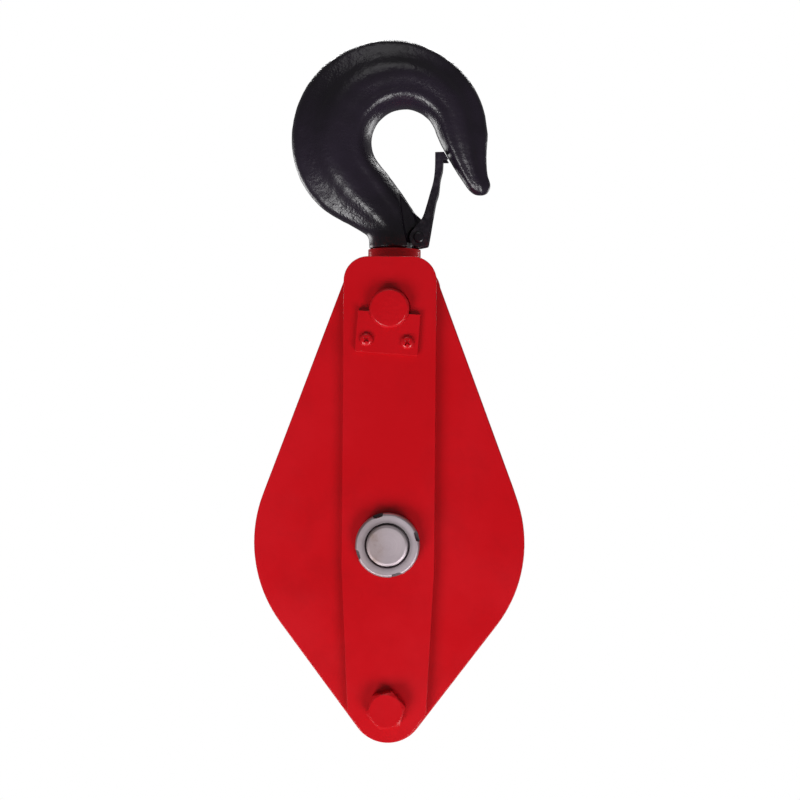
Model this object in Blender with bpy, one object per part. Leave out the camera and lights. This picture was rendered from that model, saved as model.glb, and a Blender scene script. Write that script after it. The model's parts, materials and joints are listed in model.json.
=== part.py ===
"""Double sheave block with a swivelling safety hook, for wire rope."""

import math

import bmesh
import bpy
from mathutils import Matrix, Vector

# Driving dimensions in metres. +Z runs up the hook shank, -Y is the front face, and the
# origin is where the shank's axis meets the hook's saddle, the top of the bowl's inside.
GAP = 0.0003
AXLE_Z = -0.3122
TRUNNION_Z = AXLE_Z + 0.1647
BOLT_Z = AXLE_Z - 0.1149
ROUND_STEPS = 36

# Side plates: a round body on the axle, drawn down to the tie bolt and up to the crosshead.
CHEEK_RADIUS = 0.0956
CHEEK_TIP_RADIUS = 0.0264
CHEEK_TOP = 0.1922
CHEEK_TOP_HALF = 0.0218
CHEEK_TOP_RADIUS = 0.0120
CHEEK_THICKNESS = 0.0050
MIDDLE_THICKNESS = 0.0050
STRAP_HALF = 0.0325
STRAP_TOP = 0.2012
STRAP_TOP_RADIUS = 0.0170
STRAP_INSET = 0.0021
STRAP_TAPER_START = -0.0178
STRAP_TAPER_SLOPE = 0.0488
STRAP_THICKNESS = 0.0080

# Sheaves, their bushes and the axle.
SHEAVE_RADIUS = 0.0860
GROOVE_BOTTOM = 0.0660
GROOVE_RADIUS = 0.0080
GROOVE_FLANK = math.radians(25)
GROOVE_STEPS = 4
SHEAVE_STEPS = 42
RIM_HALF = 0.0170
RIM_INNER = 0.0580
RIM_DRAFT = 0.0060
WEB_HALF = 0.0060
HUB_RADIUS = 0.0310
HUB_DRAFT = 0.0030
HUB_WIDTH = 0.0370
HUB_PLAY = 0.0005
BUSH_RADIUS = 0.0210
JOURNAL_RADIUS = 0.0175
AXLE_END_RADIUS = 0.0150
AXLE_TIP_RADIUS = 0.0143
AXLE_CHAMFER = 0.0017
AXLE_NUT_RADIUS = 0.0225
AXLE_NUT_HEIGHT = 0.0090
AXLE_NUT_SLOT = (0.0074, 0.0027, 0.0055)
AXLE_NUT_TURN = math.radians(17.8)
AXLE_STANDS_PROUD = 0.0024

# Where the plates lie across the block, worked out from the middle plate outwards.
SHEAVE_NEAR = MIDDLE_THICKNESS / 2 + HUB_PLAY
SHEAVE_FAR = SHEAVE_NEAR + HUB_WIDTH
CHEEK_NEAR = SHEAVE_FAR + HUB_PLAY
CHEEK_FAR = CHEEK_NEAR + CHEEK_THICKNESS
STRAP_NEAR = CHEEK_FAR + GAP
STRAP_FAR = STRAP_NEAR + STRAP_THICKNESS
FITTING_NEAR = STRAP_FAR + GAP

# Keeper plates, which hold the crosshead's trunnions by a groove.
TRUNNION_RADIUS = 0.0140
TRUNNION_END = 0.0620
TRUNNION_CHAMFER = 0.0015
TRUNNION_GROOVE = 0.0100
KEEPER_HALF = 0.0220
KEEPER_TOP = -0.0028
KEEPER_HEIGHT = 0.0289
KEEPER_THICKNESS = 0.0040
KEEPER_TILT = math.radians(3.9)
SCREW_SIDE = 0.0143
SCREW_DROP = -0.0229
SCREW_RADIUS = 0.0025
SCREW_HEAD_RADIUS = 0.0047
SCREW_HEAD = 0.0028
SCREW_LENGTH = 0.0100
CROSS_ARM = 0.0026
CROSS_HALF = 0.0005
CROSS_DEPTH = 0.0017
CROSS_TURN = math.radians(40)

# Tie bolt through the plates' lower ends.
BOLT_RADIUS = 0.0080
HEX_FLATS = 0.0240
BOLT_HEAD = 0.0100
BOLT_TURN = math.radians(12.3)
BOLT_NUT_TURN = math.radians(8)
BOLT_CHAMFER = 0.0012
WASHER_RADIUS = 0.0150
WASHER_THICKNESS = 0.0025
BOLT_NUT = 0.0130
BOLT_REACH = 0.0730
SPACER_RADIUS = 0.0120

# Crosshead, thrust bearing and hook nut; heights are from the trunnion axis.
BLOCK_RADIUS = 0.0270
BLOCK_HALF = 0.0200
ARM_HALF = 0.0170
ARM_END = 0.0400
ARM_STEP = 0.0030
BOSS_RADIUS = 0.0192
NECK_FOOT = -0.1016
SHANK_RADIUS = 0.0150
RACE_RADIUS = 0.0235
RACE_THICKNESS = 0.0030
BALL_RADIUS = 0.0028
BALL_PITCH = 0.0195
BALL_COUNT = 12
CAGE_INNER = 0.0159
CAGE_OUTER = 0.0231
CAGE_THICKNESS = 0.0020
HOOK_NUT_FLATS = 0.0460
HOOK_NUT_HEIGHT = 0.0240
HOOK_PIN_RADIUS = 0.0025
HOOK_PIN_HALF = 0.0245
SHANK_END = -0.0620

RACE_TOP = TRUNNION_Z - BLOCK_HALF - GAP
BALL_Z = RACE_TOP - RACE_THICKNESS - GAP - BALL_RADIUS
LOWER_RACE_TOP = BALL_Z - BALL_RADIUS - GAP
HOOK_NUT_TOP = LOWER_RACE_TOP - RACE_THICKNESS - GAP
HOOK_PIN_Z = HOOK_NUT_TOP - HOOK_NUT_HEIGHT / 2

# Hook, seen from the front in (x, z): two circles make the bowl and the back.
BOWL_CENTRE = Vector((0.0066, -0.0234))
BOWL_RADIUS = 0.0240
BACK_CENTRE = Vector((-0.0044, -0.0206))
BACK_RADIUS = 0.0720
HOOK_SIDES = 16

# Each section of the hook: inner point, outer point, half thickness and how far it leans
# from a plain oval (0) to the forged shape that is widest near the bowl (1).
POINT_SECTIONS = (
    ((0.0590, -0.0616), (0.0640, -0.0620), 0.0030, 0.0),
    ((0.0559, -0.0601), (0.0681, -0.0597), 0.0055, 0.0),
    ((0.0519, -0.0556), (0.0698, -0.0546), 0.0078, 0.3),
    ((0.0461, -0.0472), (0.0678, -0.0470), 0.0095, 0.6),
    ((0.0407, -0.0386), (0.0670, -0.0380), 0.0115, 0.8),
    ((0.0353, -0.0290), (0.0670, -0.0280), 0.0135, 1.0),
)
# Round the bowl: first and last angles on the inner and outer circles, in degrees, and
# half thickness at the point's end and at the back.
BOWL_INNER_ANGLES = (12, 219)
BOWL_OUTER_ANGLES = (3, 206)
BOWL_HALF = (0.0148, 0.0210)
BOWL_STEPS = 14
NECK_SECTIONS = (
    ((-0.0052, -0.0468), (-0.0608, -0.0645), 0.0203, 1.0),
    ((0.0005, -0.0545), (-0.0519, -0.0731), 0.0199, 0.9),
    ((0.0058, -0.0616), (-0.0427, -0.0789), 0.0195, 0.7),
    ((0.0105, -0.0685), (-0.0339, -0.0835), 0.0191, 0.5),
    ((0.0142, -0.0745), (-0.0263, -0.0877), 0.0188, 0.3),
    ((0.0170, -0.0820), (-0.0204, -0.0915), 0.0187, 0.1),
    ((0.0185, -0.0910), (-0.0186, -0.0960), 0.0186, 0.0),
    ((0.0186, NECK_FOOT), (-0.0186, NECK_FOOT), 0.0186, 0.0),
)

# Safety latch: a sheet channel on a pin through the neck's lug.
PIVOT = Vector((0.0182, -0.0937))
LUG_HALF = 0.0035
LUG_RADIUS = 0.0060
LUG_SHOULDER = (0.0162, -0.0823, 0.0040)
LUG_ROOTS = ((0.0080, -0.0760, 0.0050), (0.0060, -0.0940, LUG_RADIUS))
EAR_NEAR = 0.0082
SHEET = 0.0020
EAR_RADIUS = 0.0068
EAR_POCKET_RADIUS = 0.0078
RIB_HALF = 0.0076
# The edge where the hook's round body falls away to the thinner rib that carries the lug.
RIB_EDGE = (
    (0.0022, -0.0560),
    (0.0040, -0.0650),
    (0.0064, -0.0827),
    (0.0100, -0.0988),
    (0.0100, -0.1030),
)
LATCH_PIN_RADIUS = 0.0025
LATCH_PIN_HEAD = (0.0040, 0.0015)
SPRING_WIRE = 0.0006
SPRING_RADIUS = 0.0040
SPRING_TURNS = 2.25
LATCH_FOOT = (
    (0.0243, -0.0993),
    (0.0250, -0.0975),
    (0.0263, -0.0901),
    (0.0276, -0.0818),
)
LATCH_BACK = (
    (0.0290, -0.0739),
    (0.0303, -0.0667),
    (0.0321, -0.0606),
    (0.0332, -0.0509),
    (0.0348, -0.0437),
    (0.0352, -0.0372),
)
LATCH_LIP = (
    (0.0392, -0.0372),
    (0.0359, -0.0317),
)
LATCH_INNER = (
    (0.0295, -0.0319),
    (0.0294, -0.0437),
    (0.0284, -0.0528),
    (0.0260, -0.0618),
    (0.0238, -0.0697),
    (0.0204, -0.0797),
    (0.0136, -0.0884),
)
LATCH_WEB_FOOT = -0.0775
# The channel's hollow runs past the sheet on every side but the web's.
HOLLOW_LEFT = 0.0050
HOLLOW_FOOT = ((HOLLOW_LEFT, -0.1050), (0.0300, -0.1050), (0.0300, LATCH_WEB_FOOT))
HOLLOW_HEAD = ((0.0420, -0.0392), (0.0420, -0.0337), (HOLLOW_LEFT, -0.0337))
# How far cutting tools run past what they cut.
OVERRUN = 0.0300

RED = ((0.52, 0.009, 0.012), 0.38, 0.0)
BLACK = ((0.018, 0.016, 0.021), 0.42, 0.0)
STEEL = ((0.36, 0.33, 0.34), 0.38, 1.0)
BRIGHT = ((0.55, 0.54, 0.53), 0.25, 1.0)
IRON = ((0.10, 0.10, 0.105), 0.55, 0.6)
BRONZE = ((0.45, 0.27, 0.10), 0.35, 1.0)


# ---------------------------------------------------------------- outlines and meshes


def arc(centre, radius, start, end, steps):
    """Points on an arc from one angle to another, in degrees, both ends included."""
    angles = (math.radians(start + (end - start) * i / steps) for i in range(steps + 1))
    return [(centre[0] + radius * math.cos(a), centre[1] + radius * math.sin(a)) for a in angles]


def circle(centre, radius, steps):
    """Points round a whole circle."""
    return arc(centre, radius, 0, 360, steps)[:-1]


def belt(circles, degrees_per_step=6):
    """The outline of a belt run round the given circles, counter-clockwise."""
    normals = []
    for (ax, az, ar), (bx, bz, br) in zip(circles, circles[1:] + circles[:1]):
        along = math.atan2(bz - az, bx - ax)
        normals.append(math.degrees(along - math.acos((ar - br) / math.hypot(bx - ax, bz - az))))
    points = []
    for index, (x, z, radius) in enumerate(circles):
        start = normals[index - 1]
        sweep = (normals[index] - start) % 360
        points += arc((x, z), radius, start, start + sweep, max(1, round(sweep / degrees_per_step)))
    return points


def turned_points(points, angle, centre=(0.0, 0.0)):
    """The points turned clockwise, as seen from the front, about a centre."""
    c, s = math.cos(angle), math.sin(angle)
    moved = [(x - centre[0], z - centre[1]) for x, z in points]
    return [(centre[0] + x * c + z * s, centre[1] - x * s + z * c) for x, z in moved]


def hexagon(centre, flats, turn):
    """A hexagon of the given size across its flats."""
    corners = circle((0.0, 0.0), flats / 2 / math.cos(math.pi / 6), 6)
    return [(centre[0] + x, centre[1] + z) for x, z in turned_points(corners, turn)]


def plate_mesh(loops, near, far):
    """A flat plate standing in XZ between two Y values; loops after the first are holes."""
    bm = bmesh.new()
    for loop in loops:
        ring = [bm.verts.new((x, near, z)) for x, z in loop]
        for first, second in zip(ring, ring[1:] + ring[:1]):
            bm.edges.new((first, second))
    bmesh.ops.triangle_fill(bm, use_beauty=True, edges=bm.edges[:])
    swept = bmesh.ops.extrude_face_region(bm, geom=bm.faces[:])["geom"]
    moved = [item for item in swept if isinstance(item, bmesh.types.BMVert)]
    bmesh.ops.translate(bm, verts=moved, vec=(0, far - near, 0))
    bmesh.ops.recalc_face_normals(bm, faces=bm.faces)
    return bm


def turned_mesh(profile, axis="Z", steps=ROUND_STEPS):
    """A profile of (radius, height) points turned about Z or Y; it closes on the axis."""
    bm = bmesh.new()
    points = [bm.verts.new((radius, 0, height)) for radius, height in profile]
    pairs = list(zip(points, points[1:]))
    if profile[0][0] > 0:
        pairs.append((points[-1], points[0]))
    edges = [bm.edges.new(pair) for pair in pairs]
    bmesh.ops.spin(
        bm, geom=points + edges, cent=(0, 0, 0), axis=(0, 0, 1), angle=math.tau, steps=steps, use_merge=True
    )
    bmesh.ops.remove_doubles(bm, verts=bm.verts, dist=1e-6)
    bmesh.ops.recalc_face_normals(bm, faces=bm.faces)
    if axis == "Y":
        bmesh.ops.transform(bm, matrix=Matrix.Rotation(-math.pi / 2, 4, "X"), verts=bm.verts)
    return bm


def rod(radius, low, high, chamfer=0.0):
    """The profile of a plain rod, chamfered at both ends if asked."""
    if not chamfer:
        return [(0, low), (radius, low), (radius, high), (0, high)]
    thin = radius - chamfer
    return [(0, low), (thin, low), (radius, low + chamfer), (radius, high - chamfer), (thin, high), (0, high)]


def tube(outer, inner, low, high):
    """The profile of a plain ring or tube."""
    return [(inner, low), (outer, low), (outer, high), (inner, high)]


def box_mesh(low, high):
    """A box between two corners."""
    bm = bmesh.new()
    bmesh.ops.create_cube(bm, size=1)
    size = [b - a for a, b in zip(low, high)]
    middle = [(a + b) / 2 for a, b in zip(low, high)]
    bmesh.ops.scale(bm, vec=size, verts=bm.verts)
    bmesh.ops.translate(bm, vec=middle, verts=bm.verts)
    return bm


def add(name, bm, finish, place=(0, 0, 0), parent=None):
    """Turn a mesh given in world places into an object whose origin is at place."""
    bmesh.ops.translate(bm, vec=-Vector(place), verts=bm.verts)
    mesh = bpy.data.meshes.new(name)
    bm.to_mesh(mesh)
    bm.free()
    mesh.shade_smooth()
    mesh.set_sharp_from_angle(angle=math.radians(32))
    thing = bpy.data.objects.new(name, mesh)
    bpy.context.collection.objects.link(thing)
    thing.location = place
    if parent:
        thing.parent = parent
        thing.matrix_parent_inverse = parent.matrix_world.inverted()
    if finish:
        colour, roughness, metallic = finish
        material = bpy.data.materials.new(name)
        material.use_nodes = True
        shader = material.node_tree.nodes["Principled BSDF"]
        shader.inputs["Base Color"].default_value = (*colour, 1)
        shader.inputs["Roughness"].default_value = roughness
        shader.inputs["Metallic"].default_value = metallic
        material.diffuse_color = (*colour, 1)
        mesh.materials.append(material)
    return thing


def combine(thing, operation, name, bm):
    """Cut a helper solid from an object, or join it on."""
    helper = add(name, bm, None)
    helper.hide_render = True
    helper.display_type = "WIRE"
    step = thing.modifiers.new(name, "BOOLEAN")
    step.operation = operation
    step.solver = "EXACT"
    step.object = helper


def joint_empty(name, place, parent=None):
    """An empty on a joint's axis, which carries the pieces that move with it."""
    empty = bpy.data.objects.new(name, None)
    empty.empty_display_size = 0.02
    bpy.context.collection.objects.link(empty)
    empty.location = place
    if parent:
        empty.parent = parent
        empty.matrix_parent_inverse = parent.matrix_world.inverted()
    bpy.context.view_layer.update()
    return empty


def sides():
    """The two halves of the block: name and direction along Y."""
    return (("front", -1), ("rear", 1))


def span(side, near, far):
    """Y values of a piece that lies between two distances from the middle."""
    return (side * near, side * far) if side > 0 else (side * far, side * near)


# ---------------------------------------------------------------- hook and latch


def bowl_sections():
    """Hook sections whose ends lie on the bowl's circle and the back's circle."""
    inner_points = arc(BOWL_CENTRE, BOWL_RADIUS, *BOWL_INNER_ANGLES, BOWL_STEPS)
    outer_points = arc(BACK_CENTRE, BACK_RADIUS, *BOWL_OUTER_ANGLES, BOWL_STEPS)
    thin, thick = BOWL_HALF
    sections = []
    for index, (inner, outer) in enumerate(zip(inner_points, outer_points)):
        swell = math.sin(math.pi / 2 * index / BOWL_STEPS)
        sections.append((inner, outer, thin + (thick - thin) * swell, 1.0))
    return sections


def hook_ring(bm, section):
    """One closed ring of the hook, widest near the bowl where the section leans."""
    inner, outer, half, lean = section
    inner, outer = Vector(inner), Vector(outer)
    ring = bmesh.ops.create_circle(bm, segments=HOOK_SIDES, radius=1)["verts"]
    for index, vert in enumerate(ring):
        angle = math.tau * index / HOOK_SIDES
        along = (1 - math.cos(angle)) / 2
        width = math.sin(angle) * half * (1 + lean * (0.14 - 0.62 * max(0.0, along - 0.2)))
        point = inner.lerp(outer, along)
        vert.co = (point.x, width, point.y)
    return list({edge for vert in ring for edge in vert.link_edges})


def hook_mesh():
    """The forged hook from its point, round the bowl, down the neck and the shank."""
    sections = list(POINT_SECTIONS) + bowl_sections() + list(NECK_SECTIONS)
    shank_foot = TRUNNION_Z + SHANK_END
    for radius, height in (
        (SHANK_RADIUS, NECK_FOOT),
        (SHANK_RADIUS, shank_foot + AXLE_CHAMFER),
        (SHANK_RADIUS - AXLE_CHAMFER, shank_foot),
    ):
        sections.append(((radius, height), (-radius, height), radius, 0.0))
    bm = bmesh.new()
    rings = [hook_ring(bm, section) for section in sections]
    for first, second in zip(rings, rings[1:]):
        bmesh.ops.bridge_loops(bm, edges=first + second)
    for end in (rings[0], rings[-1]):
        bmesh.ops.contextual_create(bm, geom=end)
    bmesh.ops.recalc_face_normals(bm, faces=bm.faces)
    return bm


def lug_outline():
    """The neck's lug: a round end on the latch pivot, run back into the neck."""
    return belt([(*PIVOT, LUG_RADIUS), LUG_SHOULDER, *LUG_ROOTS], 20)


def make_hook():
    """The hook, its latch lug, and the holes for the latch pin and the nut's pin."""
    hook = add("hook", hook_mesh(), BLACK)
    blank_half = LUG_HALF + SHEET
    combine(hook, "UNION", "join_lug", plate_mesh([lug_outline()], -blank_half, blank_half))
    pocket = circle(PIVOT, EAR_POCKET_RADIUS, 20)
    flat = [*RIB_EDGE, (OVERRUN, RIB_EDGE[-1][1]), (OVERRUN, RIB_EDGE[0][1])]
    for name, side in sides():
        combine(hook, "DIFFERENCE", f"cut_{name}_flat", plate_mesh([flat], *span(side, RIB_HALF, OVERRUN)))
        combine(hook, "DIFFERENCE", f"cut_{name}_ear", plate_mesh([pocket], *span(side, LUG_HALF, OVERRUN)))
    hole = plate_mesh([circle(PIVOT, LATCH_PIN_RADIUS + GAP, 16)], -OVERRUN, OVERRUN)
    combine(hook, "DIFFERENCE", "cut_latch_pin", hole)
    combine(hook, "DIFFERENCE", "cut_nut_pin", hook_pin_mesh(HOOK_PIN_RADIUS + GAP, OVERRUN))
    return hook


def hook_pin_mesh(radius, half):
    """A rod along X through the hook nut."""
    bm = turned_mesh(rod(radius, -half, half), steps=16)
    bmesh.ops.transform(bm, matrix=Matrix.Rotation(math.pi / 2, 4, "Y"), verts=bm.verts)
    bmesh.ops.translate(bm, vec=(0, 0, HOOK_PIN_Z), verts=bm.verts)
    return bm


def make_latch():
    """The latch: a bent channel with two ears, turning about its pin."""
    hinge = joint_empty("latch_hinge", (PIVOT.x, 0, PIVOT.y))
    outline = [*LATCH_FOOT, *LATCH_BACK, *LATCH_LIP, *LATCH_INNER, *arc(PIVOT, EAR_RADIUS, 135, 285, 10)]
    far = EAR_NEAR + SHEET
    body = plate_mesh([outline], -far, far)
    latch = add("safety_latch", body, BLACK, hinge.location, hinge)
    web = [(x - SHEET, z) for x, z in LATCH_BACK]
    hollow = [*HOLLOW_FOOT, (web[0][0], LATCH_WEB_FOOT), *web, *HOLLOW_HEAD]
    combine(latch, "DIFFERENCE", "cut_latch_channel", plate_mesh([hollow], -EAR_NEAR, EAR_NEAR))
    hole = plate_mesh([circle(PIVOT, LATCH_PIN_RADIUS + GAP, 16)], -OVERRUN, OVERRUN)
    combine(latch, "DIFFERENCE", "cut_latch_hole", hole)
    head_radius, head = LATCH_PIN_HEAD
    reach = far + GAP
    profile = [(0, -reach - head), (head_radius, -reach - head), (head_radius, -reach)]
    profile += [(LATCH_PIN_RADIUS, -reach), (LATCH_PIN_RADIUS, reach), (head_radius, reach)]
    profile += [(head_radius, reach + head), (0, reach + head)]
    pin = turned_mesh(profile, "Y", 16)
    bmesh.ops.translate(pin, vec=(PIVOT.x, 0, PIVOT.y), verts=pin.verts)
    add("latch_pin", pin, STEEL, hinge.location)
    make_latch_spring(hinge)


def make_latch_spring(hinge):
    """A torsion spring on the pin: one leg lies in the channel, the other on the neck."""
    pitch = 2 * SPRING_WIRE + 0.0001
    start = LUG_HALF + GAP + SPRING_WIRE
    points = [(0.0085, start, 0.0350), (SPRING_RADIUS, start, 0.0030)]
    for index in range(round(12 * SPRING_TURNS) + 1):
        angle = -math.tau * index / 12
        y = start + pitch * index / 12
        points.append((SPRING_RADIUS * math.cos(angle), y, SPRING_RADIUS * math.sin(angle)))
    points.append((-0.0062, points[-1][1], -SPRING_RADIUS))
    curve = bpy.data.curves.new("latch_spring", "CURVE")
    curve.dimensions = "3D"
    curve.bevel_depth = SPRING_WIRE
    curve.bevel_resolution = 1
    curve.use_fill_caps = True
    line = curve.splines.new("POLY")
    line.points.add(len(points) - 1)
    for target, point in zip(line.points, points):
        target.co = (*point, 1)
    helper = bpy.data.objects.new("spring_path", curve)
    bpy.context.collection.objects.link(helper)
    bm = bmesh.new()
    bm.from_mesh(helper.to_mesh())
    bpy.data.objects.remove(helper)
    bmesh.ops.translate(bm, vec=(PIVOT.x, 0, PIVOT.y), verts=bm.verts)
    add("latch_spring", bm, STEEL, hinge.location)


# ---------------------------------------------------------------- crosshead and bearing


def make_crosshead():
    """The forged crosshead: a bored block with a boss on top and a trunnion each side."""
    rock = joint_empty("trunnion_axis", (0, 0, TRUNNION_Z))
    low, high = TRUNNION_Z - BLOCK_HALF, TRUNNION_Z + BLOCK_HALF
    boss_top = NECK_FOOT - GAP
    body = [(0, low), (BLOCK_RADIUS, low), (BLOCK_RADIUS, high)]
    body += [(BOSS_RADIUS, high), (BOSS_RADIUS, boss_top), (0, boss_top)]
    crosshead = add("crosshead", turned_mesh(body), RED, rock.location, rock)
    arm = box_mesh((-ARM_HALF, -ARM_END, low + ARM_STEP), (ARM_HALF, ARM_END, high - ARM_STEP))
    combine(crosshead, "UNION", "join_arms", arm)
    inner, outer = STRAP_FAR, STRAP_FAR + KEEPER_THICKNESS + 2 * GAP
    half = [(TRUNNION_RADIUS, inner), (TRUNNION_GROOVE, inner)]
    half += [(TRUNNION_GROOVE, outer), (TRUNNION_RADIUS, outer)]
    half += [(TRUNNION_RADIUS, TRUNNION_END - TRUNNION_CHAMFER)]
    half += [(TRUNNION_RADIUS - TRUNNION_CHAMFER, TRUNNION_END), (0, TRUNNION_END)]
    profile = [(radius, -height) for radius, height in reversed(half)] + half
    trunnions = turned_mesh(profile, "Y")
    bmesh.ops.translate(trunnions, vec=(0, 0, TRUNNION_Z), verts=trunnions.verts)
    combine(crosshead, "UNION", "join_trunnions", trunnions)
    bore = turned_mesh(rod(SHANK_RADIUS + GAP, low - OVERRUN, boss_top + OVERRUN))
    combine(crosshead, "DIFFERENCE", "cut_shank_bore", bore)


def make_bearing():
    """The thrust ball bearing between the crosshead and the hook nut."""
    bore = SHANK_RADIUS + GAP
    axis = joint_empty("swivel_axis", (0, 0, BALL_Z))
    for name, top in (("upper", RACE_TOP), ("lower", LOWER_RACE_TOP)):
        ring = turned_mesh(tube(RACE_RADIUS, bore, top - RACE_THICKNESS, top))
        add(f"bearing_{name}_washer", ring, BRIGHT, (0, 0, top))
    places = circle((0.0, 0.0), BALL_PITCH, BALL_COUNT)
    holes = [circle(place, BALL_RADIUS + GAP, 10) for place in places]
    loops = [circle((0.0, 0.0), CAGE_OUTER, 36), circle((0.0, 0.0), CAGE_INNER, 36)] + holes
    cage = plate_mesh(loops, -CAGE_THICKNESS / 2, CAGE_THICKNESS / 2)
    bmesh.ops.transform(cage, matrix=Matrix.Rotation(math.pi / 2, 4, "X"), verts=cage.verts)
    bmesh.ops.translate(cage, vec=(0, 0, BALL_Z), verts=cage.verts)
    add("bearing_cage", cage, BRONZE, axis.location, axis)
    for index, (x, y) in enumerate(places, 1):
        ball = bmesh.new()
        bmesh.ops.create_icosphere(ball, subdivisions=2, radius=BALL_RADIUS)
        bmesh.ops.translate(ball, vec=(x, y, BALL_Z), verts=ball.verts)
        add(f"bearing_ball_{index:02}", ball, BRIGHT, axis.location, axis)


def make_hook_nut():
    """The hex nut under the bearing and the pin that locks it to the shank."""
    centre = (0.0, 0.0)
    loops = [hexagon(centre, HOOK_NUT_FLATS, math.radians(30)), circle(centre, SHANK_RADIUS + GAP, 32)]
    nut = plate_mesh(loops, 0, HOOK_NUT_HEIGHT)
    bmesh.ops.transform(nut, matrix=Matrix.Rotation(-math.pi / 2, 4, "X"), verts=nut.verts)
    bmesh.ops.translate(nut, vec=(0, 0, HOOK_NUT_TOP), verts=nut.verts)
    thing = add("hook_nut", nut, STEEL, (0, 0, HOOK_NUT_TOP))
    combine(thing, "DIFFERENCE", "cut_nut_cross_hole", hook_pin_mesh(HOOK_PIN_RADIUS + GAP, OVERRUN))
    add("hook_nut_pin", hook_pin_mesh(HOOK_PIN_RADIUS, HOOK_PIN_HALF), STEEL, (0, 0, HOOK_PIN_Z))


# ---------------------------------------------------------------- frame


def cheek_circles():
    """The circles that the side plate's outline is wrapped round, from the bottom."""
    top = AXLE_Z + CHEEK_TOP - CHEEK_TOP_RADIUS
    return [
        (0.0, BOLT_Z, CHEEK_TIP_RADIUS),
        (0.0, AXLE_Z, CHEEK_RADIUS),
        (CHEEK_TOP_HALF, top, CHEEK_TOP_RADIUS),
        (-CHEEK_TOP_HALF, top, CHEEK_TOP_RADIUS),
        (0.0, AXLE_Z, CHEEK_RADIUS),
    ]


def strap_outline():
    """A straight strap with round top corners, its lower end just inside the side plate's."""
    lean = math.asin((CHEEK_RADIUS - CHEEK_TIP_RADIUS) / (AXLE_Z - BOLT_Z))
    top_edge = AXLE_Z + STRAP_TOP - STRAP_TOP_RADIUS
    taper = STRAP_TAPER_START
    reach = CHEEK_RADIUS - STRAP_INSET - (STRAP_HALF - taper * STRAP_TAPER_SLOPE) * math.cos(lean)
    corner_z = reach / (STRAP_TAPER_SLOPE * math.cos(lean) - math.sin(lean))
    corner_x = STRAP_HALF - (taper - corner_z) * STRAP_TAPER_SLOPE
    angle = math.degrees(lean)
    points = arc((0.0, BOLT_Z), CHEEK_TIP_RADIUS - STRAP_INSET, -180 + angle, -angle, 16)
    points += [(corner_x, AXLE_Z + corner_z), (STRAP_HALF, AXLE_Z + taper)]
    corner = STRAP_HALF - STRAP_TOP_RADIUS
    points += arc((corner, top_edge), STRAP_TOP_RADIUS, 0, 90, 8)
    points += arc((-corner, top_edge), STRAP_TOP_RADIUS, 90, 180, 8)
    return points + [(-STRAP_HALF, AXLE_Z + taper), (-corner_x, AXLE_Z + corner_z)]


def screw_places():
    """Centres of the two keeper screws, in the tilted keeper's own corners."""
    flat = [(sign * SCREW_SIDE, SCREW_DROP) for sign in (-1, 1)]
    return [(x, TRUNNION_Z + z) for x, z in turned_points(flat, KEEPER_TILT)]


def make_plates():
    """Side plates and straps each side, and the plate between the sheaves."""
    axle, trunnion, bolt = (0.0, AXLE_Z), (0.0, TRUNNION_Z), (0.0, BOLT_Z)
    axle_hole = circle(axle, AXLE_END_RADIUS + GAP, 32)
    trunnion_hole = circle(trunnion, TRUNNION_RADIUS + GAP, 32)
    bolt_hole = circle(bolt, BOLT_RADIUS + GAP, 20)
    screw_holes = [circle(place, SCREW_RADIUS + GAP, 12) for place in screw_places()]
    for name, side in sides():
        loops = [belt(cheek_circles()), axle_hole, trunnion_hole, bolt_hole]
        add(f"{name}_cheek", plate_mesh(loops, *span(side, CHEEK_NEAR, CHEEK_FAR)), RED)
        loops = [strap_outline(), axle_hole, trunnion_hole, bolt_hole] + screw_holes
        add(f"{name}_strap", plate_mesh(loops, *span(side, STRAP_NEAR, STRAP_FAR)), RED)
    half = MIDDLE_THICKNESS / 2
    loops = [belt(cheek_circles()[:2]), circle(axle, JOURNAL_RADIUS + GAP, 32), bolt_hole]
    add("middle_plate", plate_mesh(loops, -half, half), RED)


def keeper_outline():
    """A small plate whose top edge is hollowed to sit in the trunnion's groove."""
    notch = TRUNNION_GROOVE + GAP
    dip = math.degrees(math.asin(-KEEPER_TOP / notch))
    points = arc((0.0, 0.0), notch, 180 + dip, 360 - dip, 14)
    points += [(KEEPER_HALF, KEEPER_TOP), (KEEPER_HALF, KEEPER_TOP - KEEPER_HEIGHT)]
    points += [(-KEEPER_HALF, KEEPER_TOP - KEEPER_HEIGHT), (-KEEPER_HALF, KEEPER_TOP)]
    return [(x, TRUNNION_Z + z) for x, z in turned_points(points, KEEPER_TILT)]


def screw_mesh(side, place):
    """A pan head screw whose head lies on the keeper and whose shank enters the strap."""
    seat = FITTING_NEAR + KEEPER_THICKNESS + GAP
    profile = [(0, seat - SCREW_LENGTH), (SCREW_RADIUS, seat - SCREW_LENGTH), (SCREW_RADIUS, seat)]
    profile += [(SCREW_HEAD_RADIUS, seat), (SCREW_HEAD_RADIUS, seat + 0.4 * SCREW_HEAD)]
    profile += [(0.72 * SCREW_HEAD_RADIUS, seat + 0.88 * SCREW_HEAD), (0, seat + SCREW_HEAD)]
    bm = turned_mesh([(radius, side * height) for radius, height in profile], "Y", 14)
    bmesh.ops.translate(bm, vec=(place[0], 0, place[1]), verts=bm.verts)
    return bm


def cross_mesh(side, place):
    """The cross recess in a screw head."""
    arm, half = CROSS_ARM, CROSS_HALF
    points = [(arm, -half), (arm, half), (half, half), (half, arm), (-half, arm), (-half, half)]
    points += [(-x, -z) for x, z in points]
    loop = [(place[0] + x, place[1] + z) for x, z in turned_points(points, CROSS_TURN)]
    face = FITTING_NEAR + KEEPER_THICKNESS + GAP + SCREW_HEAD
    return plate_mesh([loop], *span(side, face - CROSS_DEPTH, face + CROSS_DEPTH))


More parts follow.
